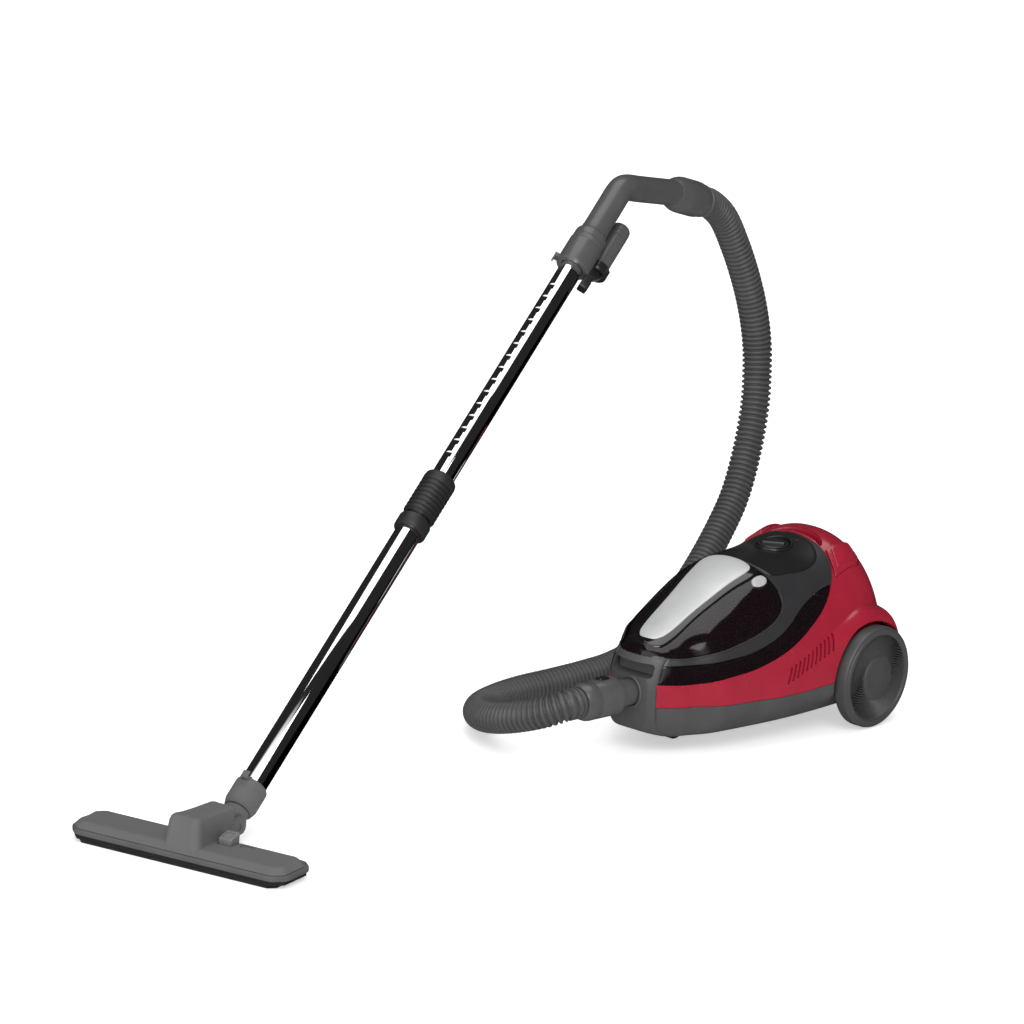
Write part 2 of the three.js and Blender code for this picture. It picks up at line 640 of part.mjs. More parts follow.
function handle() {
  const group = new THREE.Group();
  const path = [
    wandPoint(HANDLE_START), wandPoint(975), wandPoint(1006), [0, 903.4, 626.7], [0, 915.5, 627.3],
    [0, 955, 622.4], [0, 997.7, 617.2], [0, 1010.2, 613.4], [0, 1023.2, 609.4],
    [0, CUFF.y - 0.4, CUFF.z + 0.1],
  ];
  const bend = swept(path, HANDLE_R, 13.2, 14, 16);
  const spigot = ring(16.6, 13.2, 927.6, HANDLE_START + 3);
  const turnedIn = wandGroup();
  turnedIn.updateMatrix();
  const geometry = toGeometry(spigot);
  geometry.applyMatrix4(turnedIn.matrix);
  piece(group, 'handle_tube', bend.add(solid(geometry)), GREY);
  const drop = THREE.MathUtils.degToRad(CUFF.drop);
  const outward = new THREE.Vector3(0, Math.cos(drop), -Math.sin(drop));
  const cuff = aimed(new THREE.Group(), [0, CUFF.y, CUFF.z], outward);
  const profile = [
    [10.5, -13], [12.8, -13], [12.8, 0.4], [17, 0.4], [22.2, 15], [CUFF.r, 22], [CUFF.r, 64],
    [20.6, CUFF.length],
    [10.5, CUFF.length], [10.5, -13],
  ];
  piece(cuff, 'hose_cuff', turned(profile, 'z', [0, 0, 0], 26), GREY);
  group.add(cuff);
  return group;
}

// Floor nozzle -------------------------------------------------------------------------------
function chamfered(width, depth, cut) {
  const [w, d] = [width / 2, depth / 2];
  return [
    [-w, -d + cut], [-w + cut, -d], [w - cut, -d], [w, -d + cut],
    [w, d - cut], [w - cut, d], [-w + cut, d], [-w, d - cut],
  ];
}

// A plate with sloped sides: the outline is that of its flat top.
function sloped(points, top, height, slope) {
  const geometry = new THREE.ExtrudeGeometry(outline(points), {
    depth: 1, bevelEnabled: true, bevelThickness: height, bevelSize: slope, bevelSegments: 1,
  });
  geometry.translate(0, 0, top - height - 1);
  return solid(geometry);
}

function nozzleTop() {
  const above = (height) => box(-FAR, FAR, -FAR, FAR, HEAD.lip, height);
  const roof = sloped(chamfered(274, 50, 12), HEAD.roof, 9, 7)
    .translate([HEAD.x, HEAD.y - 3, 0])
    .intersect(above(HEAD.roof));
  const hood = sloped([[-13, -20], [19, -20], [19, 33], [-13, 33]], HEAD.hood, 33, 9)
    .intersect(box(-FAR, FAR, -FAR, 41, HEAD.lip, HEAD.hood));
  const ears = box(18.6, 24, 18, 72, 17, 38).add(box(-24, -18.6, 18, 72, 17, 38));
  return roof.add(hood).add(ears)
    .subtract(box(-100, 100, -30, 16, 10, HEAD.roof - 3))
    .subtract(box(-12, 18, -16, 45, 10, 50))
    .subtract(cylinder(YOKE.r + 1.2, -18.6, 18.6, 'x', [0, YOKE.y, YOKE.z]))
    .subtract(cylinder(4.3, -30, 30, 'x', [0, YOKE.y, YOKE.z], 16))
    .subtract(box(31, 52, -2, 20.5, 18, 60))
    .subtract(box(58, 76, 5, 14, HEAD.roof - 1.4, 40));
}

// The suction mouth, the two brush slots and the wheel wells.
function slots() {
  return box(-95, 95, -21, -7, -5, 20)
    .add(box(-110, 110, -29.4, -25.6, -5, 20))
    .add(box(-110, 110, 15.6, 19.4, -5, 20))
    .add(box(64.3, 75.7, 22.6, 33.4, -5, 10.5))
    .add(box(-75.7, -64.3, 22.6, 33.4, -5, 10.5));
}

function nozzleBase() {
  const group = new THREE.Group();
  group.position.set(HEAD.x, HEAD.y, 0);
  const openings = slots();
  piece(group, 'sole_plate', planPrism(chamfered(270, 66, 8), 0, 4).subtract(openings), STEEL);
  piece(group, 'nozzle_tray', planPrism(chamfered(288, 70, 12), 4.3, 9.2).subtract(openings), DARK);
  const bumper = planPrism(chamfered(HEAD.width, HEAD.depth, 14), 9.5, 16)
    .subtract(planPrism(chamfered(256, 62, 6), 5, 20));
  piece(group, 'bumper_band', bumper, NOZZLE_GREY);
  piece(group, 'brush_front', box(-109.6, 109.6, -29, -26, 0.8, 9), BRISTLE);
  piece(group, 'brush_rear', box(-109.6, 109.6, 16, 19, 0.8, 9), BRISTLE);
  [['left', 1], ['right', -1]].forEach(([label, side]) => {
    piece(group, `nozzle_wheel_${label}`, cylinder(4.5, -5, 5, 'x', [side * 70, 28, 4.5], 20), RUBBER);
  });
  return group;
}

function floorNozzle() {
  const group = new THREE.Group();
  group.add(nozzleBase());
  piece(group, 'nozzle_top', nozzleTop(), NOZZLE_GREY);
  piece(group, 'foot_pedal', box(32.5, 50.5, 0, 19, 21.8, 36), NOZZLE_GREY);
  const elbow = swept([[0, YOKE.y, YOKE.z], [0, 70, 26], wandPoint(2), wandPoint(11.7)], 15, 0, 16, 6);
  const barrel = cylinder(YOKE.r, -18, 18, 'x', [0, YOKE.y, YOKE.z])
    .add(cylinder(4, -23, 23, 'x', [0, YOKE.y, YOKE.z], 16));
  const wand = wandGroup();
  wand.updateMatrix();
  const spigotGeometry = toGeometry(cylinder(12.7, 8, 30));
  spigotGeometry.applyMatrix4(wand.matrix);
  piece(group, 'neck_elbow', elbow.add(barrel).add(solid(spigotGeometry)), NOZZLE_GREY);
  const profile = [
    [13, 12], [17.5, 12], [20, 20], [20, 46], [19, 48], [16.3, 48], [16.3, 31], [13, 31], [13, 12],
  ];
  piece(wand, 'neck_collar', turned(profile).subtract(box(-7.4, 7.4, 17.4, 30, 24.6, 42.4)), NOZZLE_GREY);
  piece(wand, 'neck_latch', box(-7, 7, 19.8, 24, 25, 42), DARK);
  group.add(wand);
  return group;
}

function hose() {
  const group = new THREE.Group();
  piece(group, 'hose', swept(HOSE_ROUTE, HOSE_R, 0, 10, 46), GREY);
  return group;
}

// Assembly -----------------------------------------------------------------------------------
const canister = new THREE.Group();
canister.position.set(...CANISTER_PLACE, 0);
canister.add(bodyPanels(), dustCup(), controls(), motorBay(), caster(), hoseEnd(), hose());
canister.add(rearWheel(1, 'left'), rearWheel(-1, 'right'));

const floorHead = new THREE.Group();
floorHead.position.set(NOZZLE.x, NOZZLE.y, 0);
floorHead.rotation.z = THREE.MathUtils.degToRad(NOZZLE.yaw);
floorHead.add(floorNozzle(), telescopicWand(), handleCollar(), handle());
canister.add(floorHead);

export default new THREE.Group().add(canister);
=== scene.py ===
"""Canister vacuum cleaner: every visible piece in full detail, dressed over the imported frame."""

import json
import logging
import math
from dataclasses import dataclass, field
from enum import Enum
from functools import partial
from typing import Callable, Iterable, Optional, Sequence

import bmesh
import bpy
import numpy as np
from mathutils import Matrix, Vector


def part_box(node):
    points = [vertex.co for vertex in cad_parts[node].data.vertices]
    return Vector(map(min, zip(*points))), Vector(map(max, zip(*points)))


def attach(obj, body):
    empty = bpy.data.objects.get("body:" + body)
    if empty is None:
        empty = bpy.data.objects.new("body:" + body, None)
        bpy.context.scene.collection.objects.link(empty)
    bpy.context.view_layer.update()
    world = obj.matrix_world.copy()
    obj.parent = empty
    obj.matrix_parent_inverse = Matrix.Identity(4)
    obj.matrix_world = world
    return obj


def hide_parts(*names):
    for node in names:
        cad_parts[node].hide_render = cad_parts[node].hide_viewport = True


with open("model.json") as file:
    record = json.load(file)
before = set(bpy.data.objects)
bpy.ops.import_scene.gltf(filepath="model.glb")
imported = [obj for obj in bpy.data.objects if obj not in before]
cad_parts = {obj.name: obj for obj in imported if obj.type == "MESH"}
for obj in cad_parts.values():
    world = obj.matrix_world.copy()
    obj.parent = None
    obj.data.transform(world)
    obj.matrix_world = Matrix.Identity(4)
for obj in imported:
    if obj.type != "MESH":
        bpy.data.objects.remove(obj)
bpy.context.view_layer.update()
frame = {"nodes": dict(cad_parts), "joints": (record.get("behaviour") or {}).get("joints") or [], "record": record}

LOG = logging.getLogger("vacuum_cleaner")
MM = 0.001
GAP = 0.3
Point = Sequence[float]
Height = Callable[[float, float], float]
ALONG_X = Matrix.Rotation(math.pi / 2, 4, "Y")
ALONG_Y = Matrix.Rotation(-math.pi / 2, 4, "X")
TO_FRONT = Matrix.Rotation(math.pi / 2, 4, "X")


class Metal(Enum):
    """How a metal surface was worked."""

    NONE = 0
    POLISHED = 1
    BRUSHED = 2


# Places ------------------------------------------------------
HEAD_X, HEAD_Y = -2.5, -4.0  # the middle of the nozzle's head, in the nozzle's frame
NECK_PIVOT = (0, 58, 26)  # the neck's pitch hinge, in the nozzle's frame
WAND_ROOT = (0, 80, 27)  # where the wand's axis starts, in the nozzle's frame
NECK_HINGE = Matrix.Translation(NECK_PIVOT) @ ALONG_X
TAIL_Y = 195.0  # the canister's tail, in its own frame


def joint_fact(name: str, key: str) -> Vector:
    """The vector `key` of the joint called `name`."""
    return Vector(next(j for j in frame["joints"] if j["name"] == name)[key])


@dataclass(frozen=True)
class Place:
    """A working frame, in millimetres, for the points of one sub-assembly."""

    matrix: Matrix

    @staticmethod
    def of(origin: Vector, x_axis: Vector, z_axis: Vector) -> "Place":
        """A place from its origin in metres and two of its axes.

        Args:
            origin: the place's zero point in the row frame.
            x_axis: its first axis, roughly.
            z_axis: its third axis, exactly.

        Returns:
            The place, with the axes made square to each other.
        """
        z = z_axis.normalized()
        y = z.cross(x_axis).normalized()
        x = y.cross(z)
        turn = Matrix((x, y, z)).transposed().to_4x4()
        return Place(Matrix.Translation(origin) @ turn @ Matrix.Scale(MM, 4))

    def moved(self, x: float, y: float, z: float) -> "Place":
        """The same place, shifted along its own axes by millimetres."""
        return Place(self.matrix @ Matrix.Translation((x, y, z)))

    def turned(self, degrees: float, axis: str) -> "Place":
        """The same place, turned about one of its own axes."""
        return Place(self.matrix @ Matrix.Rotation(math.radians(degrees), 4, axis))


def canister_place() -> Place:
    """The canister's own frame: on the floor under its middle, nose along -Y."""
    low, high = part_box("base_chassis")
    return Place.of(Vector(((low.x + high.x) / 2, high.y - TAIL_Y * MM, 0)), Vector((1, 0, 0)), Vector((0, 0, 1)))


def nozzle_place() -> Place:
    """The floor nozzle's own frame: on the floor under its middle."""
    low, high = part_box("sole_plate")
    middle = (low + high) / 2
    base = Place.of(Vector((middle.x, middle.y, 0)), joint_fact("nozzle_pitch", "axis"), Vector((0, 0, 1)))
    return base.moved(-HEAD_X, -HEAD_Y, 0)


def wand_place() -> Place:
    """The wand's frame: +Z runs up the wand, +Y is its lower side."""
    root = nozzle_place().matrix @ Vector(WAND_ROOT)
    return Place.of(root, joint_fact("nozzle_pitch", "axis"), joint_fact("wand_telescope", "axis"))


def wand_from_nozzle() -> Matrix:
    """The wand's frame as seen from the nozzle's."""
    return nozzle_place().matrix.inverted() @ wand_place().matrix


def cuff_place() -> Place:
    """The hose cuff's frame: +Z runs along the hose's first stretch."""
    joint = "hose_cuff_swivel"
    return Place.of(joint_fact(joint, "pos_m"), joint_fact("nozzle_pitch", "axis"), joint_fact(joint, "axis"))


def connector_place() -> Place:
    """The hose connector's frame: +Z points out of the inlet, +Y up."""
    joint = "hose_connector_swivel"
    z = joint_fact(joint, "axis")
    up = -joint_fact("connector_button_press", "axis")
    return Place.of(joint_fact(joint, "pos_m"), up.cross(z), z)


# Finishes ----------------------------------------------------
METALLIC = {Metal.NONE: 0.0, Metal.BRUSHED: 0.3, Metal.POLISHED: 1.0}
COAT_ROUGHNESS = 0.06
MOTTLE_SCALE = 38.0
GLOSS_SCALE = 120.0
GLOSS_LOW, GLOSS_HIGH = 0.82, 1.18
EDGE_FROM, EDGE_TO = 0.52, 0.62
RELIEF = 0.0002
BRUSH_SQUEEZE = (1.0, 0.03, 1.0)


@dataclass(frozen=True)
class Finish:
    """A procedural surface: mottled colour, uneven gloss, fine grain and lighter rubbed edges."""

    name: str
    colour: tuple[float, float, float]
    roughness: float = 0.5
    metal: Metal = Metal.NONE
    coat: float = 0.0
    alpha: float = 1.0
    specular: float = 0.5
    grain: float = 900.0
    grain_depth: float = 0.12
    mottle: float = 0.08
    edge: float = 0.25

    def build(self) -> bpy.types.Material:
        """Makes the material once and keeps it for every later piece."""
        known = bpy.data.materials.get(self.name)
        if known is not None:
            return known
        material = bpy.data.materials.new(self.name)
        material.use_nodes = True
        tree = material.node_tree
        shader = tree.nodes["Principled BSDF"]
        shader.inputs["Metallic"].default_value = METALLIC[self.metal]
        shader.inputs["Coat Weight"].default_value = self.coat
        shader.inputs["Coat Roughness"].default_value = COAT_ROUGHNESS
        shader.inputs["Specular IOR Level"].default_value = self.specular
        shader.inputs["Alpha"].default_value = self.alpha
        where = tree.nodes.new("ShaderNodeTexCoord").outputs["Object"]
        if self.metal is Metal.BRUSHED:
            where = self._stretched(tree, where)
        self._colour(tree, where, shader)
        self._surface(tree, where, shader)
        return material

    def _stretched(self, tree: bpy.types.NodeTree, where: bpy.types.NodeSocket) -> bpy.types.NodeSocket:
        """Coordinates squeezed along one axis, so that grain becomes brush lines."""
        mapping = tree.nodes.new("ShaderNodeMapping")
        mapping.inputs["Scale"].default_value = BRUSH_SQUEEZE
        tree.links.new(where, mapping.inputs["Vector"])
        return mapping.outputs["Vector"]

    def _noise(
        self, tree: bpy.types.NodeTree, where: bpy.types.NodeSocket, scale: float, detail: float
    ) -> bpy.types.NodeSocket:
        """A noise pattern of the given scale.

        Args:
            tree: the material's node tree.
            where: its coordinates.
            scale, detail: its settings.

        Returns:
            The pattern.
        """
        noise = tree.nodes.new("ShaderNodeTexNoise")
        noise.inputs["Scale"].default_value = scale
        noise.inputs["Detail"].default_value = detail
        tree.links.new(where, noise.inputs["Vector"])
        return noise.outputs["Fac"]

    def _colour(
        self, tree: bpy.types.NodeTree, where: bpy.types.NodeSocket, shader: bpy.types.Node
    ) -> None:
        """Wires mottling and lightened edges into the base colour.

        Args:
            tree: the material's node tree.
            where: the coordinates of the patterns.
            shader: the surface shader.
        """
        ramp = tree.nodes.new("ShaderNodeValToRGB")
        low = [c * (1 - self.mottle) for c in self.colour]
        high = [min(1.0, c * (1 + self.mottle)) for c in self.colour]
        ramp.color_ramp.elements[0].position = 0.3
        ramp.color_ramp.elements[1].position = 0.7
        ramp.color_ramp.elements[0].color = (*low, 1)
        ramp.color_ramp.elements[1].color = (*high, 1)
        tree.links.new(self._noise(tree, where, MOTTLE_SCALE, 6.0), ramp.inputs["Fac"])
        edges = tree.nodes.new("ShaderNodeMapRange")
        edges.inputs["From Min"].default_value = EDGE_FROM
        edges.inputs["From Max"].default_value = EDGE_TO
        edges.inputs["To Max"].default_value = self.edge
        tree.links.new(tree.nodes.new("ShaderNodeNewGeometry").outputs["Pointiness"], edges.inputs["Value"])
        rubbed = tree.nodes.new("ShaderNodeMix")
        rubbed.data_type = "RGBA"
        rubbed.inputs["B"].default_value = (*[min(1.0, c * 1.9 + 0.03) for c in self.colour], 1)
        tree.links.new(edges.outputs["Result"], rubbed.inputs["Factor"])
        tree.links.new(ramp.outputs["Color"], rubbed.inputs["A"])
        tree.links.new(rubbed.outputs["Result"], shader.inputs["Base Color"])

    def _surface(
        self, tree: bpy.types.NodeTree, where: bpy.types.NodeSocket, shader: bpy.types.Node
    ) -> None:
        """Wires uneven gloss and the grain's relief.

        Args:
            tree: the material's node tree.
            where: the coordinates of the patterns.
            shader: the surface shader.
        """
        gloss = tree.nodes.new("ShaderNodeMapRange")
        gloss.inputs["To Min"].default_value = self.roughness * GLOSS_LOW
        gloss.inputs["To Max"].default_value = min(1.0, self.roughness * GLOSS_HIGH)
        tree.links.new(self._noise(tree, where, GLOSS_SCALE, 4.0), gloss.inputs["Value"])
        tree.links.new(gloss.outputs["Result"], shader.inputs["Roughness"])
        bump = tree.nodes.new("ShaderNodeBump")
        bump.inputs["Strength"].default_value = self.grain_depth
        bump.inputs["Distance"].default_value = RELIEF
        tree.links.new(self._noise(tree, where, self.grain, 3.0), bump.inputs["Height"])
        tree.links.new(bump.outputs["Normal"], shader.inputs["Normal"])


RED = Finish("red_gloss", (0.36, 0.014, 0.034), 0.26, coat=0.55, grain=500, grain_depth=0.03, mottle=0.05, edge=0.0)
# A darker copy of the red: painted shade on red surfaces in the nose slot and round the pedals' steps.
RED_SHADED = Finish("red_painted_shade", (0.22, 0.010, 0.022), 0.4, coat=0.2, grain_depth=0.05)
GREY = Finish("grey_satin", (0.072, 0.072, 0.074), 0.42, grain_depth=0.16)
# A darker copy of the base grey for its downward-facing underside: painted shade.
GREY_SHADED = Finish("grey_underside_painted_shade", (0.034, 0.034, 0.035), 0.55, grain_depth=0.2)
BAND_GREY = Finish("band_satin", (0.031, 0.031, 0.033), 0.34, coat=0.25, grain_depth=0.08)
DARK = Finish("panel_black", (0.014, 0.014, 0.015), 0.3, coat=0.25, grain_depth=0.08)
BLACK = Finish("surround_black", (0.008, 0.008, 0.009), 0.14, coat=0.6, grain_depth=0.02)
# Flat black painted shade: it stands in for the shade in recesses, gaps, notches and behind the vents.
SHADE = Finish("painted_shade_black", (0.006, 0.006, 0.006), 0.8, grain_depth=0.2)
SMOKE = Finish(
    "smoked_window", (0.009, 0.005, 0.006), 0.08, coat=0.3, alpha=0.86, specular=0.4, grain=300, grain_depth=0.01,
    edge=0.0,
)
BUCKET = Finish("bucket_clear", (0.05, 0.045, 0.045), 0.2, alpha=0.5, grain_depth=0.04)
SILVER = Finish(
    "brushed_silver", (0.66, 0.665, 0.67), 0.44, metal=Metal.BRUSHED, grain=2200, grain_depth=0.2, mottle=0.08,
)
BUTTON = Finish("button_grey", (0.46, 0.46, 0.47), 0.28, coat=0.3, grain_depth=0.06)
CHROME = Finish(
    "wand_chrome", (0.86, 0.86, 0.87), 0.05, metal=Metal.POLISHED, grain=60, grain_depth=0.012, mottle=0.02, edge=0.0,
)
STEEL = Finish("turned_steel", (0.50, 0.51, 0.53), 0.32, metal=Metal.POLISHED, grain=1500, grain_depth=0.2)
RUBBER = Finish("black_rubber", (0.016, 0.016, 0.016), 0.75, specular=0.35, grain=1400, grain_depth=0.3)
FOAM = Finish("pale_foam", (0.62, 0.55, 0.38), 0.95, specular=0.2, grain=700, grain_depth=0.9, mottle=0.18)
BRISTLE = Finish("bristle_fibre", (0.022, 0.019, 0.017), 0.8, grain=2600, grain_depth=1.0, mottle=0.3)
BRACKET = Finish("cast_bracket", (0.15, 0.155, 0.16), 0.42, metal=Metal.POLISHED, grain_depth=0.3)
HOSE = Finish("hose_grey", (0.066, 0.066, 0.067), 0.42, grain=900, grain_depth=0.1, mottle=0.1, edge=0.5)
HANDLE = Finish("handle_satin", (0.086, 0.086, 0.088), 0.32, coat=0.15, grain_depth=0.1)
WHEEL = Finish("wheel_grey", (0.060, 0.060, 0.061), 0.40, grain_depth=0.14, edge=0.4)
# A lighter grey for the vanes' top faces only: the lit copy beside their black painted-shade sides.
VANE_LIT = Finish("vane_lit_grey", (0.135, 0.135, 0.137), 0.36, grain_depth=0.1, edge=0.4)
SLEEVE = Finish("sleeve_black", (0.018, 0.018, 0.019), 0.46, grain_depth=0.15, edge=0.4)
NOZZLE = Finish("nozzle_grey", (0.140, 0.140, 0.142), 0.40, grain_depth=0.16)
BUMPER = Finish("bumper_grey", (0.095, 0.095, 0.097), 0.5, grain_depth=0.2)
PEDAL = Finish("pedal_pale", (0.19, 0.19, 0.195), 0.42, grain_depth=0.16)
SOLE = Finish("sole_steel", (0.32, 0.32, 0.33), 0.36, metal=Metal.POLISHED, grain=1200, grain_depth=0.3)
FLOOR = Finish("pale_floor", (0.93, 0.93, 0.93), 0.7, specular=0.1, grain=4, grain_depth=0.0, mottle=0.004, edge=0.0)

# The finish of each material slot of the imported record.
SLOT_FINISH = {
    "red": RED, "grey": GREY, "dark": DARK, "smoke": SMOKE, "silver": SILVER, "button": BUTTON, "steel": STEEL,
    "rubber": RUBBER, "foam": FOAM, "bracket": BRACKET, "hose": HOSE, "wheel": WHEEL, "chrome": CHROME,
    "sleeve": SLEEVE, "nozzle_grey": NOZZLE, "bumper": BUMPER, "pedal_grey": PEDAL, "sole": SOLE, "bristle": BRISTLE,
}


# Curves ------------------------------------------------------
def flowing(points: Iterable[Point], per_span: int = 12, closed: bool = False) -> np.ndarray:
    """A smooth curve through points, by centripetal Catmull-Rom spans.

    Args:
        points: the points that the curve passes through.
        per_span: samples on each span.
        closed: True where the last point joins the first.

    Returns:
        The samples, one row each.
    """
    p = np.array(list(points), float)
    if closed:
        p = np.vstack([p[-1], p, p[0], p[1]])
    else:
        p = np.vstack([2 * p[0] - p[1], p, 2 * p[-1] - p[-2]])
    out = []
    for a, b, c, d in zip(p[:-3], p[1:-2], p[2:-1], p[3:]):
        t1 = max(np.linalg.norm(b - a), 1e-6) ** 0.5
        t2 = t1 + max(np.linalg.norm(c - b), 1e-6) ** 0.5
        t3 = t2 + max(np.linalg.norm(d - c), 1e-6) ** 0.5
        for t in np.linspace(t1, t2, per_span, endpoint=False):
            ab = a + (b - a) * t / t1
            bc = b + (c - b) * (t - t1) / (t2 - t1)
            cd = c + (d - c) * (t - t2) / (t3 - t2)
            abc = ab + (bc - ab) * t / t2
            bcd = bc + (cd - bc) * (t - t1) / (t3 - t1)
            out.append(abc + (bcd - abc) * (t - t1) / (t2 - t1))
    if not closed:
        out.append(p[-2])
    return np.array(out)


def evenly(curve: np.ndarray, count: int, closed: bool = False) -> np.ndarray:
    """The curve sampled again at equal steps along its length.

    Args:
        curve: its points.
        count: the number of samples.
        closed: True for a loop, whose first point isn't repeated.

    Returns:
        The samples, one row each.
    """
    line = np.vstack([curve, curve[:1]]) if closed else curve
    steps = np.linalg.norm(np.diff(line, axis=0), axis=1)
    along = np.concatenate([[0], np.cumsum(steps)])
    at = np.linspace(0, along[-1], count, endpoint=not closed)
    return np.stack([np.interp(at, along, line[:, k]) for k in range(line.shape[1])], axis=1)


def arc_rect(x0: float, x1: float, y0: float, y1: float, radius: float, steps: int = 6) -> list[Point]:
    """A rectangle's outline with rounded corners, counter-clockwise.

    Args:
        x0, x1, y0, y1: its sides.
        radius: of its corners.
        steps: on each corner.

    Returns:
        The outline.
    """
    out = []
    left, right, low, high = x0 + radius, x1 - radius, y0 + radius, y1 - radius
    for turn, (cx, cy) in enumerate(((right, high), (left, high), (left, low), (right, low))):
        for k in range(steps + 1):
            a = math.pi / 2 * (turn + k / steps)
            out.append((cx + radius * math.cos(a), cy + radius * math.sin(a)))
    return out


def mirrored_ring(half: Sequence[Point]) -> list[Point]:
    """A ring from the left half of an outline and its mirror image."""
    return [*half, *[(-x, y) for x, y in reversed(half)]]


def smooth_loop(ring: Sequence[Point], per_span: int, count: int) -> list[Point]:
    """A smooth closed outline through points, at equal steps."""
    return [tuple(p) for p in evenly(flowing(ring, per_span, closed=True), count, closed=True)]


def straight_loop(corners: Sequence[Point], count: int) -> list[Point]:
    """A closed outline with straight sides, at equal steps."""
    return [tuple(p) for p in evenly(flowing([*corners, corners[0]], 1), count)][:-1]


def level(_x: float, _y: float) -> float:
    """A flat ground."""
    return 0.0


# Forms -------------------------------------------------------
class Form:
    """The points and faces of a piece while it is made, in millimetres of its place."""

    def __init__(self) -> None:
        """An empty form."""
        self.points: list[Point] = []
        self.faces: list[tuple[int, ...]] = []
        self.marks: list[int] = []

    def grid(self, rows: Sequence[Sequence[Point]], around: bool = False, mark: int = 0) -> "Form":
        """Adds a net of quads.

        Args:
            rows: rows of points, all of one length.
            around: True where each row is a ring.
            mark: the index of its finish.

        Returns:
            The form itself.
        """
        start, n = len(self.points), len(rows[0])
        for row in rows:
            self.points.extend(tuple(p) for p in row)
        for i in range(len(rows) - 1):
            for j in range(n if around else n - 1):
                k = (j + 1) % n
                low, high = start + i * n, start + (i + 1) * n
                self.faces.append((low + j, low + k, high + k, high + j))
                self.marks.append(mark)
        return self

    def lid(self, ring: Sequence[Point], mark: int = 0) -> "Form":
        """Closes a ring of points with one face.

        Args:
            ring: the points.
            mark: the index of its finish.

        Returns:
            The form itself.
        """
        start = len(self.points)
        self.points.extend(tuple(p) for p in ring)
        self.faces.append(tuple(range(start, start + len(ring))))
        self.marks.append(mark)
        return self

    def turned(self, profile: Sequence[Point], sides: int = 64, mark: int = 0,
               wobble: Optional[Height] = None) -> "Form":
        """Turns a profile of (radius, height) about Z.

        Args:
            profile: the points of the profile.
            sides: points round the axis.
            mark: the index of its finish.
            wobble: extra radius at an angle and a height, where the piece isn't round.

        Returns:
            The form itself.
        """
        rows = []
        for r, z in profile:
            ring = []
            for k in range(sides):
                a = 2 * math.pi * k / sides
                reach = r + (wobble(a, z) if wobble and r > 0 else 0.0)
                ring.append((reach * math.cos(a), reach * math.sin(a), z))
            rows.append(ring)
        return self.grid(rows, around=True, mark=mark)

    def prism(self, outline: Sequence[Point], z0: float, z1: float, mark: int = 0) -> "Form":
        """A closed upright prism.

        Args:
            outline: its (x, y) outline.
            z0, z1: its ends.
            mark: the index of its finish.

        Returns:
            The form itself.
        """
        low = [(p[0], p[1], z0) for p in outline]
        high = [(p[0], p[1], z1) for p in outline]
        self.grid([low, high], around=True, mark=mark)
        return self.lid(low, mark).lid(high, mark)

    def block(self, x: Point, y: Point, z: Point, radius: float = 0.0, mark: int = 0) -> "Form":
        """A closed box, whose upright corners may be rounded."""
        if radius > 0:
            return self.prism(arc_rect(x[0], x[1], y[0], y[1], radius, 4), z[0], z[1], mark)
        return self.prism([(x[0], y[0]), (x[1], y[0]), (x[1], y[1]), (x[0], y[1])], z[0], z[1], mark)

    def layers(self, outline: Sequence[Point], levels: Sequence[Point], spine: Sequence[Point], ground: Height,
               fill: int = 7, mark: int = 0) -> "Form":
        """A pad: its outline drawn in over levels, then filled in to a spine.

        Args:
            outline: the outer loop, as (x, y).
            levels: (inset, lift) from the outside in.
            spine: two (x, y) points, the ends of the middle line.
            ground: the height of the surface under it at (x, y).
            fill: rows from the last level to the spine.
            mark: the index of its finish.

        Returns:
            The form itself.
        """
        a, b = np.array(spine[0], float), np.array(spine[1], float)
        rows: list[list[Point]] = [[] for _ in range(len(levels) + fill)]
        for p in outline:
            q = np.array(p[:2], float)
            t = np.clip(np.dot(q - a, b - a) / max(np.dot(b - a, b - a), 1e-9), 0, 1)
            target = a + (b - a) * t
            away = target - q
            reach = np.linalg.norm(away)
            for i, (inset, lift) in enumerate(levels):
                s = q + away / reach * min(inset, reach * 0.95)
                rows[i].append((s[0], s[1], ground(s[0], s[1]) + lift))
            last = q + away / reach * min(levels[-1][0], reach * 0.95)
            for k in range(fill):
                s = last + (target - last) * (k + 1) / fill
                rows[len(levels) + k].append((s[0], s[1], ground(s[0], s[1]) + levels[-1][1]))
        return self.grid(rows, around=True, mark=mark)

    def tube(self, path: np.ndarray, radius: Callable[[float, int], float], sides: int = 32, mark: int = 0,
             ends: bool = True) -> "Form":
        """A round sweep along a path, with no twist.

        Args:
            path: its centreline.
            radius: the radius at a share of the path and at a ring's number.
            sides: points round the path.
            mark: the index of its finish.
            ends: True to close both ends.

        Returns:
            The form itself.
        """
        tangent = np.gradient(path, axis=0)
        tangent /= np.linalg.norm(tangent, axis=1)[:, None]
        side = np.cross(tangent[0], (0.3, 0.2, 1.0))
        rows = []
        for i, (p, t) in enumerate(zip(path, tangent)):
            side = side - t * np.dot(side, t)
            side /= np.linalg.norm(side)
            other = np.cross(t, side)
            r = radius(i / (len(path) - 1), i)
            turn = np.linspace(0, 2 * math.pi, sides, endpoint=False)
            rows.append([tuple(p + r * (side * math.cos(a) + other * math.sin(a))) for a in turn])
        self.grid(rows, around=True, mark=mark)
        if ends:
            self.lid(rows[0], mark).lid(rows[-1], mark)
        return self

    def mirrored(self) -> "Form":
        """Adds the mirror image across x = 0."""
        n = len(self.points)
        self.points += [(-p[0], p[1], p[2]) for p in self.points]
        self.faces += [tuple(n + i for i in reversed(f)) for f in self.faces]
        self.marks += list(self.marks)
        return self

    def flipped(self) -> "Form":
        """The mirror image alone."""
        out = Form()
        out.points = [(-p[0], p[1], p[2]) for p in self.points]
        out.faces = [tuple(reversed(f)) for f in self.faces]
        out.marks = list(self.marks)
        return out

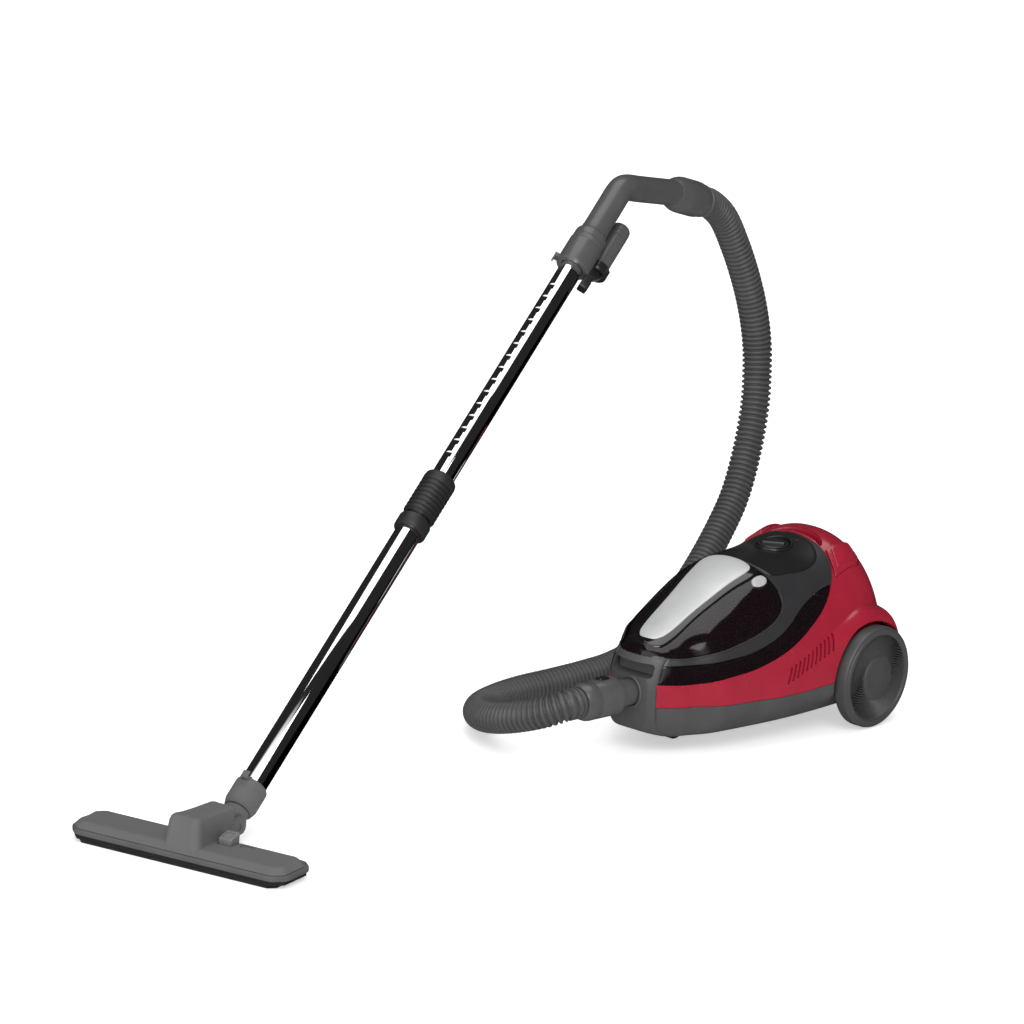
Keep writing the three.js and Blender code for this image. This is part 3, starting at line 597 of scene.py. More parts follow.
    def joined(self, other: "Form", matrix: Optional[Matrix] = None) -> "Form":
        """Adds another form, moved by a matrix.

        Args:
            other: the form.
            matrix: where it goes.

        Returns:
            The form itself.
        """
        n = len(self.points)
        if matrix is None:
            self.points += other.points
        else:
            self.points += [tuple(matrix @ Vector(p)) for p in other.points]
        self.faces += [tuple(n + i for i in f) for f in other.faces]
        self.marks += other.marks
        return self

    def mesh(self, name: str, outward: Optional[Callable[[Vector], Vector]] = None,
             weld: float = 0.01) -> bpy.types.Mesh:
        """A Blender mesh of the form, in millimetres.

        Args:
            name: the mesh's name.
            outward: gives the outer side at a point, for an open sheet; a closed body needs none.
            weld: how near points are joined.

        Returns:
            The mesh, welded, with its faces turned outwards.
        """
        mesh = bpy.data.meshes.new(name)
        mesh.from_pydata([tuple(map(float, p)) for p in self.points], [], self.faces)
        mesh.polygons.foreach_set("material_index", self.marks)
        bm = bmesh.new()
        bm.from_mesh(mesh)
        bmesh.ops.remove_doubles(bm, verts=bm.verts, dist=weld)
        bmesh.ops.dissolve_degenerate(bm, edges=bm.edges, dist=weld / 4)
        if outward is None:
            bmesh.ops.recalc_face_normals(bm, faces=bm.faces)
        else:
            bm.normal_update()
            wrong = [f for f in bm.faces if f.normal.dot(outward(f.calc_center_median())) < 0]
            bmesh.ops.reverse_faces(bm, faces=wrong)
        bm.to_mesh(mesh)
        bm.free()
        return mesh


class Bench:
    """Turns forms into finished pieces and puts them on their bodies."""

    def __init__(self) -> None:
        """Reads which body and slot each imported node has."""
        record = frame["record"]
        self.body = {n: b for b, nodes in record["behaviour"]["bodies"].items() for n in nodes}
        self.slot = {s["node"]: s["material_slot"] for s in record["subparts"]}
        self.replaced: set[str] = set()

    def baked(self, mesh: bpy.types.Mesh, changes: Sequence[tuple[str, dict]]) -> bpy.types.Mesh:
        """The mesh with modifiers applied.

        Args:
            mesh: the mesh to change.
            changes: the modifiers' types and settings, in order.

        Returns:
            A new mesh.
        """
        carrier = bpy.data.objects.new("bench", mesh)
        bpy.context.scene.collection.objects.link(carrier)
        for kind, settings in changes:
            modifier = carrier.modifiers.new(kind.lower(), kind)
            for key, value in settings.items():
                setattr(modifier, key, value)
        seen = carrier.evaluated_get(bpy.context.evaluated_depsgraph_get())
        out = bpy.data.meshes.new_from_object(seen)
        bpy.data.objects.remove(carrier)
        return out

    def thick(self, mesh: bpy.types.Mesh, wall: float, rim: float = 0.5) -> bpy.types.Mesh:
        """A sheet given a wall inwards, with rounded rims."""
        return self.baked(mesh, [
            ("SOLIDIFY", {"thickness": wall, "offset": -1.0, "use_even_offset": False}),
            ("BEVEL", {"width": rim, "segments": 2, "limit_method": "ANGLE", "angle_limit": math.radians(55)}),
        ])

    def rounded(self, mesh: bpy.types.Mesh, width: float, segments: int = 3, angle: float = 35) -> bpy.types.Mesh:
        """The mesh with its sharp edges rounded."""
        settings = {"width": width, "segments": segments, "limit_method": "ANGLE", "angle_limit": math.radians(angle)}
        return self.baked(mesh, [("BEVEL", settings)])

    def carved(self, mesh: bpy.types.Mesh, tool: Form, operation: str = "DIFFERENCE") -> bpy.types.Mesh:
        """The mesh cut by, or joined with, a closed form.

        Args:
            mesh: the mesh.
            tool: the form.
            operation: DIFFERENCE or UNION.

        Returns:
            A new mesh.
        """
        cutter = bpy.data.objects.new("cutter", tool.mesh("cutter"))
        bpy.context.scene.collection.objects.link(cutter)
        out = self.baked(mesh, [("BOOLEAN", {"operation": operation, "object": cutter, "solver": "EXACT"})])
        bpy.data.objects.remove(cutter)
        return out

    def both(self, meshes: Sequence[bpy.types.Mesh]) -> bpy.types.Mesh:
        """Several meshes as one."""
        bm = bmesh.new()
        for mesh in meshes:
            bm.from_mesh(mesh)
        out = bpy.data.meshes.new("joined")
        bm.to_mesh(out)
        bm.free()
        return out

    def piece(self, name: str, node: str, mesh: bpy.types.Mesh, place: Place, finishes: Sequence[Finish],
              angle: float = 35, stands_for: bool = True) -> bpy.types.Object:
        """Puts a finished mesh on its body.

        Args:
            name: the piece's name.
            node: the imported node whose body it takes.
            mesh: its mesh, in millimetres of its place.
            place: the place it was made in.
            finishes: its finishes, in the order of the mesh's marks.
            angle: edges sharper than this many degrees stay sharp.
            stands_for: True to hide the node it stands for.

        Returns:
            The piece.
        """
        mesh.transform(place.matrix)
        mesh.materials.clear()
        for finish in finishes:
            mesh.materials.append(finish.build())
        mesh.shade_smooth()
        mesh.set_sharp_from_angle(angle=math.radians(angle))
        mesh.update()
        piece = bpy.data.objects.new(name, mesh)
        bpy.context.scene.collection.objects.link(piece)
        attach(piece, self.body[node])
        if stands_for:
            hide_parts(node)
            self.replaced.add(node)
        LOG.info("%s: %d faces, on %s", name, len(mesh.polygons), self.body[node])
        return piece

    def dress_the_rest(self) -> None:
        """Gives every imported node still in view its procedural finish."""
        for node, slot in self.slot.items():
            if node in self.replaced:
                continue
            mesh = frame["nodes"][node].data
            finish = SLOT_FINISH[slot].build()
            for k in range(max(1, len(mesh.materials))):
                if k < len(mesh.materials):
                    mesh.materials[k] = finish
                else:
                    mesh.materials.append(finish)
            LOG.info("%s: packed shape kept, finish %s", node, finish.name)


# Body form ---------------------------------------------------
# Stations along the canister: y, half width, height of the roof.
BODY = np.array([
    (-190, 30, 112), (-178, 42, 131), (-158, 57, 140), (-140, 66, 149), (-112, 84, 163), (-86, 92, 176),
    (-50, 100, 194), (-14, 107, 207), (30, 112, 210), (76, 114, 212), (114, 114, 220), (136, 112, 226),
    (160, 107, 221), (180, 97, 200), (192, 84, 160), (195, 70, 130),
], float)
# Stations of the swelling over a wheel: y, half width, height of its crease.
FLARE = np.array([
    (-60, 97, 100), (-35, 106, 110), (0, 113, 118), (50, 122, 129), (85, 131, 139),
    (126, 135, 150), (160, 135, 144), (176, 132, 136), (187, 122, 122),
], float)
# Side outlines, as (y, z).
SHELL_EDGE = (
    (-200, 92), (-160, 91), (-132, 92), (-104, 97), (-67, 102), (-36, 110), (-2, 123),
    (33, 141), (65, 159), (89, 178), (107, 197), (114, 210), (118, 222),
)
BAND_LOW = ((-200, 113), (-134, 114), (-100, 118), (-68, 122), (-32, 133), (-4, 147), (20, 161), (52, 172), (90, 179))
BAND_TOP = ((-200, 124), (-168, 122), (-142, 122), (-115, 127), (-81, 135), (-50, 144), (-24, 155), (-5, 170), (1, 186))
BASE_TOP = ((-220, 62.5), (0, 63), (78, 69), (220, 74))


@dataclass
class BodyForm:
    """The canister's outer surface, as sections across its length."""

    middle: float = 80.0
    top_power: float = 2.2
    low_power: float = 7.0
    crease: float = 46.0
    taper: float = 0.13
    flare_start: float = -62.0
    flare_end: float = 188.5
    flare_fade: float = 183.0
    blend: float = 1.4
    edges: dict = field(default_factory=dict)

    def __post_init__(self) -> None:
        """Smooths the side outlines once."""
        for name, line in (("shell", SHELL_EDGE), ("low", BAND_LOW), ("top", BAND_TOP), ("base", BASE_TOP)):
            self.edges[name] = flowing(line, 24)

    def edge(self, name: str, y: float) -> float:
        """The height of a side outline at y."""
        line = self.edges[name]
        return float(np.interp(y, line[:, 0], line[:, 1]))

    def above(self, name: str, y: float) -> float:
        """The height a gap above a side outline at y."""
        return self.edge(name, y) + GAP

    def below(self, name: str, y: float) -> float:
        """The height a gap below a side outline at y."""
        return self.edge(name, y) - GAP

    @staticmethod
    def station(table: np.ndarray, column: int, y: float) -> float:
        """The smooth value of a station table's column at y."""
        ys, v = table[:, 0], table[:, column]
        at = min(max(y, ys[0]), ys[-1])
        i = int(min(np.searchsorted(ys, at, side="right") - 1, len(ys) - 2))
        span = ys[i + 1] - ys[i]
        t = (at - ys[i]) / span

        def slope(k: int) -> float:
            """The table's slope at station k."""
            a, b = max(k - 1, 0), min(k + 1, len(ys) - 1)
            return (v[b] - v[a]) / (ys[b] - ys[a])

        h = t * t * (3 - 2 * t)
        return float(v[i] * (1 - h) + v[i + 1] * h + span * t * (1 - t) * ((1 - t) * slope(i) - t * slope(i + 1)))

    def width(self, y: float) -> float:
        """Half the body's width at y."""
        return self.station(BODY, 1, y)

    def roof(self, y: float) -> float:
        """The body's height at y."""
        return self.station(BODY, 2, y)

    def belly(self, y: float) -> float:
        """The height of the body's underside at y."""
        return 19 + 12 * max(0.0, (-150 - y) / 40) ** 1.5 + 12 * max(0.0, (y - 170) / 25) ** 2

    def lean(self, y: float, z: float) -> float:
        """The section angle at which the upper surface has height z."""
        t = (z - self.middle) / (self.roof(y) - self.middle)
        return math.asin(min(1.0, max(0.0, t)) ** (self.top_power / 2))

    def upper(self, y: float, angle: float, out: float = 0.0) -> Point:
        """A point on the upper half, from a section angle."""
        c, s = max(math.cos(angle), 0.0), max(math.sin(angle), 0.0)
        w, h = self.width(y) + out, self.roof(y) + out - self.middle
        return (w * c ** (2 / self.top_power), y, self.middle + h * s ** (2 / self.top_power))

    def height(self, x: float, y: float) -> float:
        """The height of the upper surface over (x, y)."""
        share = min(abs(x) / self.width(y), 0.999)
        return self.middle + (self.roof(y) - self.middle) * (1 - share ** self.top_power) ** (1 / self.top_power)

    def side(self, y: float, z: float) -> float:
        """The plain body's half width at height z.

        Args:
            y: where along the canister.
            z: the height.

        Returns:
            The half width.
        """
        if z >= self.middle:
            return self.upper(y, self.lean(y, z))[0]
        t = min(1.0, (self.middle - z) / (self.middle - self.belly(y)))
        shrink = 1 - self.taper * max(0.0, self.crease - z) / (self.crease - self.belly(y))
        return self.width(y) * shrink * (1 - t ** self.low_power) ** (1 / self.low_power)

    def section(self, y: float, flared: bool) -> np.ndarray:
        """The left half's outline at y, from the middle of the belly to the middle of the roof.

        Args:
            y: where along the canister.
            flared: True to take in the swelling over the wheel.

        Returns:
            Points (x, z), closely spaced.
        """
        w, roof, belly, mid = self.width(y), self.roof(y), self.belly(y), self.middle
        a = np.linspace(math.pi / 2, 0, 160, endpoint=False)
        rho = (np.cos(a) ** self.low_power + np.sin(a) ** self.low_power) ** (-1 / self.low_power)
        z = mid - (mid - belly) * rho * np.sin(a)
        x = w * rho * np.cos(a) * (1 - self.taper * np.clip(self.crease - z, 0, None) / (self.crease - belly))
        b = np.linspace(0, math.pi / 2, 200)
        rho = (np.cos(b) ** self.top_power + np.sin(b) ** self.top_power) ** (-1 / self.top_power)
        body = np.stack([
            np.concatenate([x, w * rho * np.cos(b)]),
            np.concatenate([z, mid + (roof - mid) * rho * np.sin(b)]),
        ], axis=1)
        body[0, 0] = body[-1, 0] = 0.0
        if not flared or y < self.flare_start or y > self.flare_end:
            return body
        centre = np.array([min(58.0, 0.55 * w), 66.0])
        out, crease = self.station(FLARE, 1, y), self.station(FLARE, 2, y)
        past = max(0.0, y - self.flare_fade) / (self.flare_end - self.flare_fade)
        fade = math.sqrt(max(0.0, 1 - past ** 2))
        out = w - 6 + (out - w + 6) * fade
        crease = 96 + (crease - 96) * fade
        c, s = np.cos(b), np.sin(b)
        rho = (c ** 3 + s ** 3) ** (-1 / 3)
        down = np.linspace(math.pi / 2, 0, 60, endpoint=False)
        swell = np.stack([
            np.concatenate([70 + (out - 70) * np.cos(down), 84 + (out - 84) * rho * c]),
            np.concatenate([58 - 26 * np.sin(down), 58 + (crease - 58) * rho * s]),
        ], axis=1)
        turn_b, r_b = self.polar(body, centre)
        turn_s, r_s = self.polar(swell, centre)
        phi = np.linspace(turn_b[0], turn_b[-1], 520)
        rb = np.interp(phi, turn_b, r_b)
        rs = np.interp(phi, turn_s, r_s, left=0, right=0)
        r = 0.5 * (rb + rs + np.sqrt((rb - rs) ** 2 + self.blend ** 2) - 0.02)
        line = centre + np.stack([r * np.cos(phi), r * np.sin(phi)], axis=1)
        line[0], line[-1] = body[0], body[-1]
        return line

    @staticmethod
    def polar(line: np.ndarray, centre: np.ndarray) -> tuple[np.ndarray, np.ndarray]:
        """Angles and distances of a line's points about a centre."""
        d = line - centre
        turn = np.unwrap(np.arctan2(d[:, 1], d[:, 0]))
        return turn, np.hypot(d[:, 0], d[:, 1])

    def column(self, y: float, low: float, high: float, count: int, flared: bool,
               start_x: float = -1.0) -> list[Point]:
        """Points up one section, closer together where it bends.

        Args:
            y: where along the canister.
            low: the lowest height; under the belly, the column starts below.
            high: the highest; over the roof, it ends in the middle.
            count: how many points.
            flared: True to take in the swelling over the wheel.
            start_x: where a column that starts on the underside begins.

        Returns:
            The points.
        """
        line = self.section(y, flared)
        step = np.diff(line, axis=0)
        turn = np.abs(np.diff(np.unwrap(np.arctan2(step[:, 1], step[:, 0])), prepend=0))
        turn[0] = 0
        along = np.concatenate([[0], np.cumsum(np.hypot(step[:, 0], step[:, 1]) + 14 * turn)])
        rise = np.maximum.accumulate(line[:, 1])
        if low <= line[0, 1]:
            widest = int(np.argmax(line[:150, 0]))
            begin = float(np.interp(start_x, line[:widest, 0], along[:widest])) if start_x > 0 else 0.0
        else:
            begin = float(np.interp(low, rise, along))
        end = along[-1] if high >= line[-1, 1] - 0.01 else float(np.interp(high, rise, along))
        at = np.linspace(begin, end, count)
        return [(float(np.interp(s, along, line[:, 0])), y, float(np.interp(s, along, line[:, 1]))) for s in at]

    def outward(self, centre: Vector) -> Vector:
        """The outer side of the body's surface at a point."""
        return Vector((centre.x, (centre.y - 60) * 0.15 if centre.y < 190 else 400, centre.z - self.middle * 0.9))


BODY_FORM = BodyForm()
ARCH_R = 69.0  # the wheel arches
WHEEL_Y = 126.0  # the rear axle
WHEEL_R = 64.0
DIAL_Y = 76.0  # the dial's middle
ABOVE_ALL = 400.0  # higher than every part of the canister


# Canister ----------------------------------------------------
@dataclass
class CanisterShells:
    """The base, the red shell, the nose block, the saddle band and the windows."""

    bench: Bench
    place: Place
    wall: float = 2.4
    nose_half: float = 37.4
    vents: int = 11
    vent_first: Point = (-14, 87.0)
    vent_step: Point = (7.4, 3.0)
    vent_lean: float = -20.0
    fork_y: float = -112.0
    fork_r: float = 31.0
    shaded_below: float = 45.5
    dial_hole: float = 21.8

    def build(self) -> None:
        """Makes every outer shell."""
        self.base()
        self.red_shell()
        self.nose_block()
        self.saddle()
        self.lower_windows()
        self.handle_pocket()

    def base(self) -> None:
        """The grey base: its grey strip over its tapered underside, which is painted darker as shade."""
        form, body = Form(), BODY_FORM
        ys = [
            *np.linspace(-183.2, -152.3, 12), *np.linspace(-152, 56.6, 72), *np.linspace(57, 186, 36),
            189, 191.5, 193.5, 194.6, TAIL_Y,
        ]
        rows = []
        for y in ys:
            start = self.nose_half if y < -152.1 else -1.0
            rows.append(body.column(y, 0, body.below("base", y), 54, y < 56.8, start))
        form.grid(rows)
        last = rows[-1]
        form.grid([last, [(p[0] * 0.97, 195.3, 71 - (71 - p[2]) * 0.97) for p in last],
                   [(p[0] * 0.97, 195.4, last[-1][2]) for p in last]])
        # Faces below this height take the darker grey: painted shade on the underside.
        for k, face in enumerate(form.faces):
            if sum(form.points[i][2] for i in face) / len(face) < self.shaded_below:
                form.marks[k] = 1
        mesh = self.bench.thick(form.mirrored().mesh("base", body.outward), self.wall)
        fork = Matrix.Translation((0, self.fork_y, 0))
        tool = Form().joined(Form().turned([(0, 0), (self.fork_r, 0), (self.fork_r, 40), (0, 40)]), fork)
        tool.joined(Form().turned([(0, 0), (9, 0), (9, 20), (0, 20)], 32), self.facing(-46, 184, 52))
        mesh = self.bench.carved(mesh, tool)
        # The caster pocket's lining in painted shade black.
        pocket = Form().turned([(self.fork_r, 17.6), (31.6, 18.6), (31.6, 43.6), (5.4, 43.6)], mark=2)
        mesh = self.bench.both([mesh, Form().joined(pocket, fork).mesh("pocket")])
        self.bench.piece("base_body", "base_chassis", mesh, self.place, [GREY, GREY_SHADED, SHADE], 32)

    @staticmethod
    def facing(x: float, y: float, z: float) -> Matrix:
        """A matrix that points +Z along +Y, at a place."""
        return Matrix.Translation((x, y, z)) @ ALONG_Y

    def arch(self, y: float) -> float:
        """The height of the wheel arch's edge at y."""
        reach = ARCH_R ** 2 - (y - WHEEL_Y) ** 2
        return WHEEL_R + math.sqrt(max(reach, 0.0))

    def red_shell(self) -> None:
        """The red upper shell with its wheel swellings, vents, pedal wells and tail."""
        body, form = BODY_FORM, Form()
        turn = np.linspace(0, math.pi, 66)
        over_wheel = [WHEEL_Y - ARCH_R * math.cos(a) for a in turn]
        ys = sorted({round(float(y), 3) for y in [
            *np.linspace(-183, 56.9, 92), *[y for y in over_wheel if y < 194.2], *np.linspace(88, 122, 26), 186, 188.6,
            191, 193, 194.4, 195,
        ]})
        rows, lip = [], []
        for y in ys:
            low = body.above("base", y)
            if abs(y - WHEEL_Y) < ARCH_R:
                low = max(low, self.arch(y))
            high = body.below("shell", y) if y < 117.8 else ABOVE_ALL
            rows.append(body.column(y, low, high, 96, True))
            if abs(y - WHEEL_Y) < ARCH_R and y < 188.6:  # the lip ends where the swelling does
                lip.append(rows[-1][0])
        form.grid(rows)
        shell = self.bench.thick(self.tail(form, rows[-1]).mirrored().mesh("red", body.outward), self.wall, 0.6)
        shell = self.bench.carved(shell, self.openings())
        mesh = self.bench.both([shell, self.arches(lip).mesh("inside", body.outward)])
        self.bench.piece("red_body", "upper_shell", mesh, self.place, [RED, SHADE], 30)

    def arches(self, lip: Sequence[Point]) -> Form:
        """The wheel arches' inner walls and lips, and black sheets of painted shade behind the vents.

        Args:
            lip: the left arch's edge.

        Returns:
            The form, on both sides.
        """
        body, inside = BODY_FORM, Form()
        wall = [body.column(y, body.above("base", y), max(self.arch(y) + 4, 76), 24, False)
                for y in np.linspace(54, 194.2, 60)]
        for row in wall:
            for k, (x, y, z) in enumerate(row):
                row[k] = (x - 0.5 * min(1.0, max(0.0, (z - self.arch(y)) / 3)) - 0.05, y, z)
        inside.grid(wall)
        inside.grid([[(x + (112.5 - x) * k / 3, y, z) for x, y, z in lip] for k in range(4)])
        inside.mirrored()
        inside.grid(self.shade_sheet_behind_vents(), mark=1)
        return inside.joined(Form().grid(self.shade_sheet_behind_vents(), mark=1).flipped())

    def tail(self, form: Form, last: list[Point]) -> Form:
        """Closes the tail down to the edges of the exhaust grille.

        Args:
            form: the shell's form so far.
            last: its last column.

        Returns:
            The form.
        """
        low = last[0]
        rim = [(low[0] * k / 20, TAIL_Y, low[2]) for k in range(20)] + list(last)
        rows = []
        for k in range(7):
            t, y = k / 6, TAIL_Y + 0.5 * math.sin(math.pi * k / 6)
            rows.append([(
                p[0] + (min(p[0], 50.3) - p[0]) * t, y, p[2] + (min(max(p[2], 83.7), 122.3) - p[2]) * t,
            ) for p in rim])
        return form.grid(rows)

    def openings(self) -> Form:
        """Cutters for the vents, the pedal wells and the finger pocket."""
        tool = Form()
        for side in (1, -1):
            for k in range(self.vents):
                y, z = (a + b * k for a, b in zip(self.vent_first, self.vent_step))
                slot = Form().block((-14, 10), (-1.45, 1.45), (-10.5, 10.5), 1.2)
                lean = Matrix.Rotation(math.radians(self.vent_lean), 4, "X")
                tool.joined(slot, Matrix.Translation((side * 115, y, z)) @ lean)
            well = evenly(flowing([(side * x, y) for x, y in Pedals.WELL], 1), 40)
            tool.prism([tuple(p) for p in well], 150, 245)
        tool.prism(HalfMoon.outline(1.0, 1.0), 190, 245)
        return tool

    def shade_sheet_behind_vents(self) -> list[list[Point]]:
        """A black sheet of painted shade just behind the vents."""
        columns = [BODY_FORM.column(y, 74, 134, 12, True) for y in np.linspace(-26, 56, 16)]
        return [[(x - 4.5, y, z) for x, y, z in column] for column in columns]

    def nose_block(self) -> None:
        """The nose block with its inlet and finger slot."""
        body, form, half = BODY_FORM, Form(), self.nose_half - 0.5
        rows = []
        front = [(-190, 0.90), (-189.7, 0.94), (-188.8, 0.97), (-187, 0.99), (-184, 1)]
        for y, scale in front + [(y, 1) for y in np.linspace(-181, -152, 12)]:
            column = body.column(y, 0, ABOVE_ALL, 60, False)
            left = [(min(x, half) * scale, y, 74 + (min(z, 124.0) - 74) * scale) for x, _, z in column]
            right = [(-x, yy, z) for x, yy, z in reversed(left)][1:-1]
            rows.append(left + right)
        form.grid(rows, around=True).lid(rows[0]).lid(rows[-1])
        mesh = form.mesh("nose", weld=0.02)
        # The finger slot's cut walls and the back plate behind it take the darker red: the real red inside the slot,
        # darkened as painted shade.
        grip = Form().prism(arc_rect(-31, 31, 98, 115, 5), 0, 40, mark=1)
        slot = Form().joined(grip, Matrix.Translation((0, -171, 0)) @ TO_FRONT)
        slot.joined(Form().turned([(0, -30), (17.2, -30), (17.2, 30), (0, 30)]), self.inlet())
        mesh = self.bench.carved(mesh, slot)
        collar = Form().turned([(17.4, -8), (17.4, 3.0), (18.2, 4.2), (20.2, 4.2), (21.2, 3.2), (21.4, -8)])
        lips = Form().joined(collar, self.inlet())
        back = Form().block((-30.5, 30.5), (-173.5, -172), (98.5, 114.5), mark=1)
        mesh = self.bench.both([mesh, lips.mesh("collar"), back.mesh("back")])
        self.bench.piece("nose_body", "nose_block", mesh, self.place, [GREY, RED_SHADED], 34)

    def inlet(self) -> Matrix:
        """Where the hose goes in, in the canister's frame."""
        return self.place.matrix.inverted() @ connector_place().matrix

    def strip(self, lower: Sequence[Point], upper: Sequence[Point], rows: int, name: str,
              out: float = 0.0) -> bpy.types.Mesh:
        """A shell between two lines of (y, section angle), on both sides.

        Args:
            lower: the lower line.
            upper: the upper line, with as many points.
            rows: points from one line to the other.
            name: the mesh's name.
            out: how far it stands off the body.

        Returns:
            The thick mesh.
        """
        form = Form()
        net = []
        for (y0, a0), (y1, a1) in zip(lower, upper):
            share = [k / (rows - 1) for k in range(rows)]
            net.append([BODY_FORM.upper(y0 + (y1 - y0) * t, a0 + (a1 - a0) * t, out) for t in share])
        form.grid(net)
        for k, p in enumerate(form.points):
            if p[0] < 0.02:
                form.points[k] = (0.0, p[1], p[2])
        return self.bench.thick(form.mirrored().mesh(name, BODY_FORM.outward), self.wall, 0.7)

    def start(self, z: Callable[[float], float]) -> float:
        """Where a line of heights leaves the nose block's side.

        Args:
            z: the height at y.

        Returns:
            The y.
        """
        y = -189.0
        while BODY_FORM.side(y, z(y)) < self.nose_half and y < -150:
            y += 0.25
        return y

    def saddle(self) -> None:
        """The dark band that sweeps along the cup and rises over the top, with a painted highlight along its upper rim.
        """
        body, n = BODY_FORM, 110
        low, top = partial(body.above, "low"), partial(body.below, "top")
        front_low, front_top = self.start(low), self.start(top)

        def rear(y: float) -> float:
            """The band's lower edge, which follows the red shell behind the window."""
            return body.above("shell", y) if y > 86.5 else low(y)

        along = [(y, body.lean(y, top(y))) for y in np.linspace(front_top, 0.7, 60)]
        along += [(0.7, a) for a in np.linspace(along[-1][1], math.pi / 2, 12)[1:]]
        line = np.array(along) * (1, 60)
        first = evenly(line, 74) / (1, 60)
        second = [(y, math.pi / 2) for y in np.linspace(0.7, 118, n - 73)[1:]]
        upper = [tuple(p) for p in first] + second
        ys = [*np.linspace(front_low, 30, 74), *np.linspace(30, 118.0, n - 73)[1:]]
        lower = [(y, body.lean(y, min(rear(y), body.roof(y)))) for y in ys]
        mesh = self.strip(lower, upper, 44, "saddle", 0.4)
        dial = Matrix.Translation((0, DIAL_Y, 200))
        hole = Form().turned([(0, -30), (self.dial_hole, -30), (self.dial_hole, 40), (0, 40)])
        mesh = self.bench.carved(mesh, Form().joined(hole, dial))
        # The dial's well in painted shade black.
        well = Form().turned([(21.9, 11.5), (21.9, -3), (3.4, -3)], mark=1)
        # A pale grey bead along the band's upper rim: a painted highlight on its edge.
        rim = [body.upper(y, body.lean(y, top(y) - 1.1), 0.5) for y in np.linspace(front_top + 1, 0.2, 90)]
        bead = Form().tube(np.array(rim), lambda t, i: 0.75, 10, mark=2).mirrored()
        mesh = self.bench.both([mesh, Form().joined(well, dial).mesh("well"), bead.mesh("bead")])
        self.bench.piece("saddle_band", "saddle_frame", mesh, self.place, [BAND_GREY, SHADE, PEDAL], 30)

    def lower_windows(self) -> None:
        """The smoked strips between the band and the red shell."""
        body = BODY_FORM
        low, top = partial(body.above, "shell"), partial(body.below, "low")
        y0, y1, y2, n = self.start(low), self.start(top), 85.0, 90
        lower = [(y, body.lean(y, low(y))) for y in np.linspace(y0, y2, n)]
        upper = [(y, body.lean(y, max(top(y), low(y) + 0.2))) for y in np.linspace(y1, y2, n)]
        for side, label in ((1, "left"), (-1, "right")):
            form = Form()
            net = [[body.upper(a[0] + (b[0] - a[0]) * t, a[1] + (b[1] - a[1]) * t) for t in np.linspace(0, 1, 12)]
                   for a, b in zip(lower, upper)]
            form.grid(net)
            form = form if side > 0 else form.flipped()
            mesh = self.bench.thick(form.mesh("window", body.outward), self.wall, 0.6)
            self.bench.piece(f"side_window_{label}", f"lower_window_{label}", mesh, self.place, [SMOKE], 30)

    def handle_pocket(self) -> None:
        """The red lining of the finger pocket under the carrying arch."""
        outer, inner, y0 = HalfMoon.outline(1.0, 1.0), HalfMoon.outline(0.9, 0.75), HalfMoon.MIDDLE
        rim = [(x, y, BODY_FORM.height(x, y) - 1.6) for x, y in outer]
        form = Form().grid([
            rim, [(x * 0.985, y0 + (y - y0) * 0.95, z - 0.8) for x, y, z in rim],
            [(x, y, 204.5) for x, y in inner], [(x * 0.95, y0 + (y - y0) * 0.9, 202.5) for x, y in inner],
            [(x * 0.8, y0 + (y - y0) * 0.1, 202.0) for x, y in inner],
        ], around=True)
        mesh = self.bench.baked(form.mesh("pocket", lambda c: Vector((0, 0, 1))), [
            ("SOLIDIFY", {"thickness": 1.0, "offset": -1.0}), ("SUBSURF", {"levels": 1, "render_levels": 1}),
        ])
        self.bench.piece("finger_pocket", "handle_pocket", mesh, self.place, [RED], 40)


class HalfMoon:
    """The outline of the finger pocket in the red arch."""

    MIDDLE = 125
    HALF = ((12, 120.5), (30, 119), (42, 116.5), (40, 123), (30, 129), (14, 132))

    @classmethod
    def outline(cls, wide: float, deep: float) -> list[Point]:
        """The pocket's loop, drawn in about its middle."""
        half = [(x * wide, cls.MIDDLE + (y - cls.MIDDLE) * deep) for x, y in cls.HALF]
        return smooth_loop(mirrored_ring(half), 8, 72)


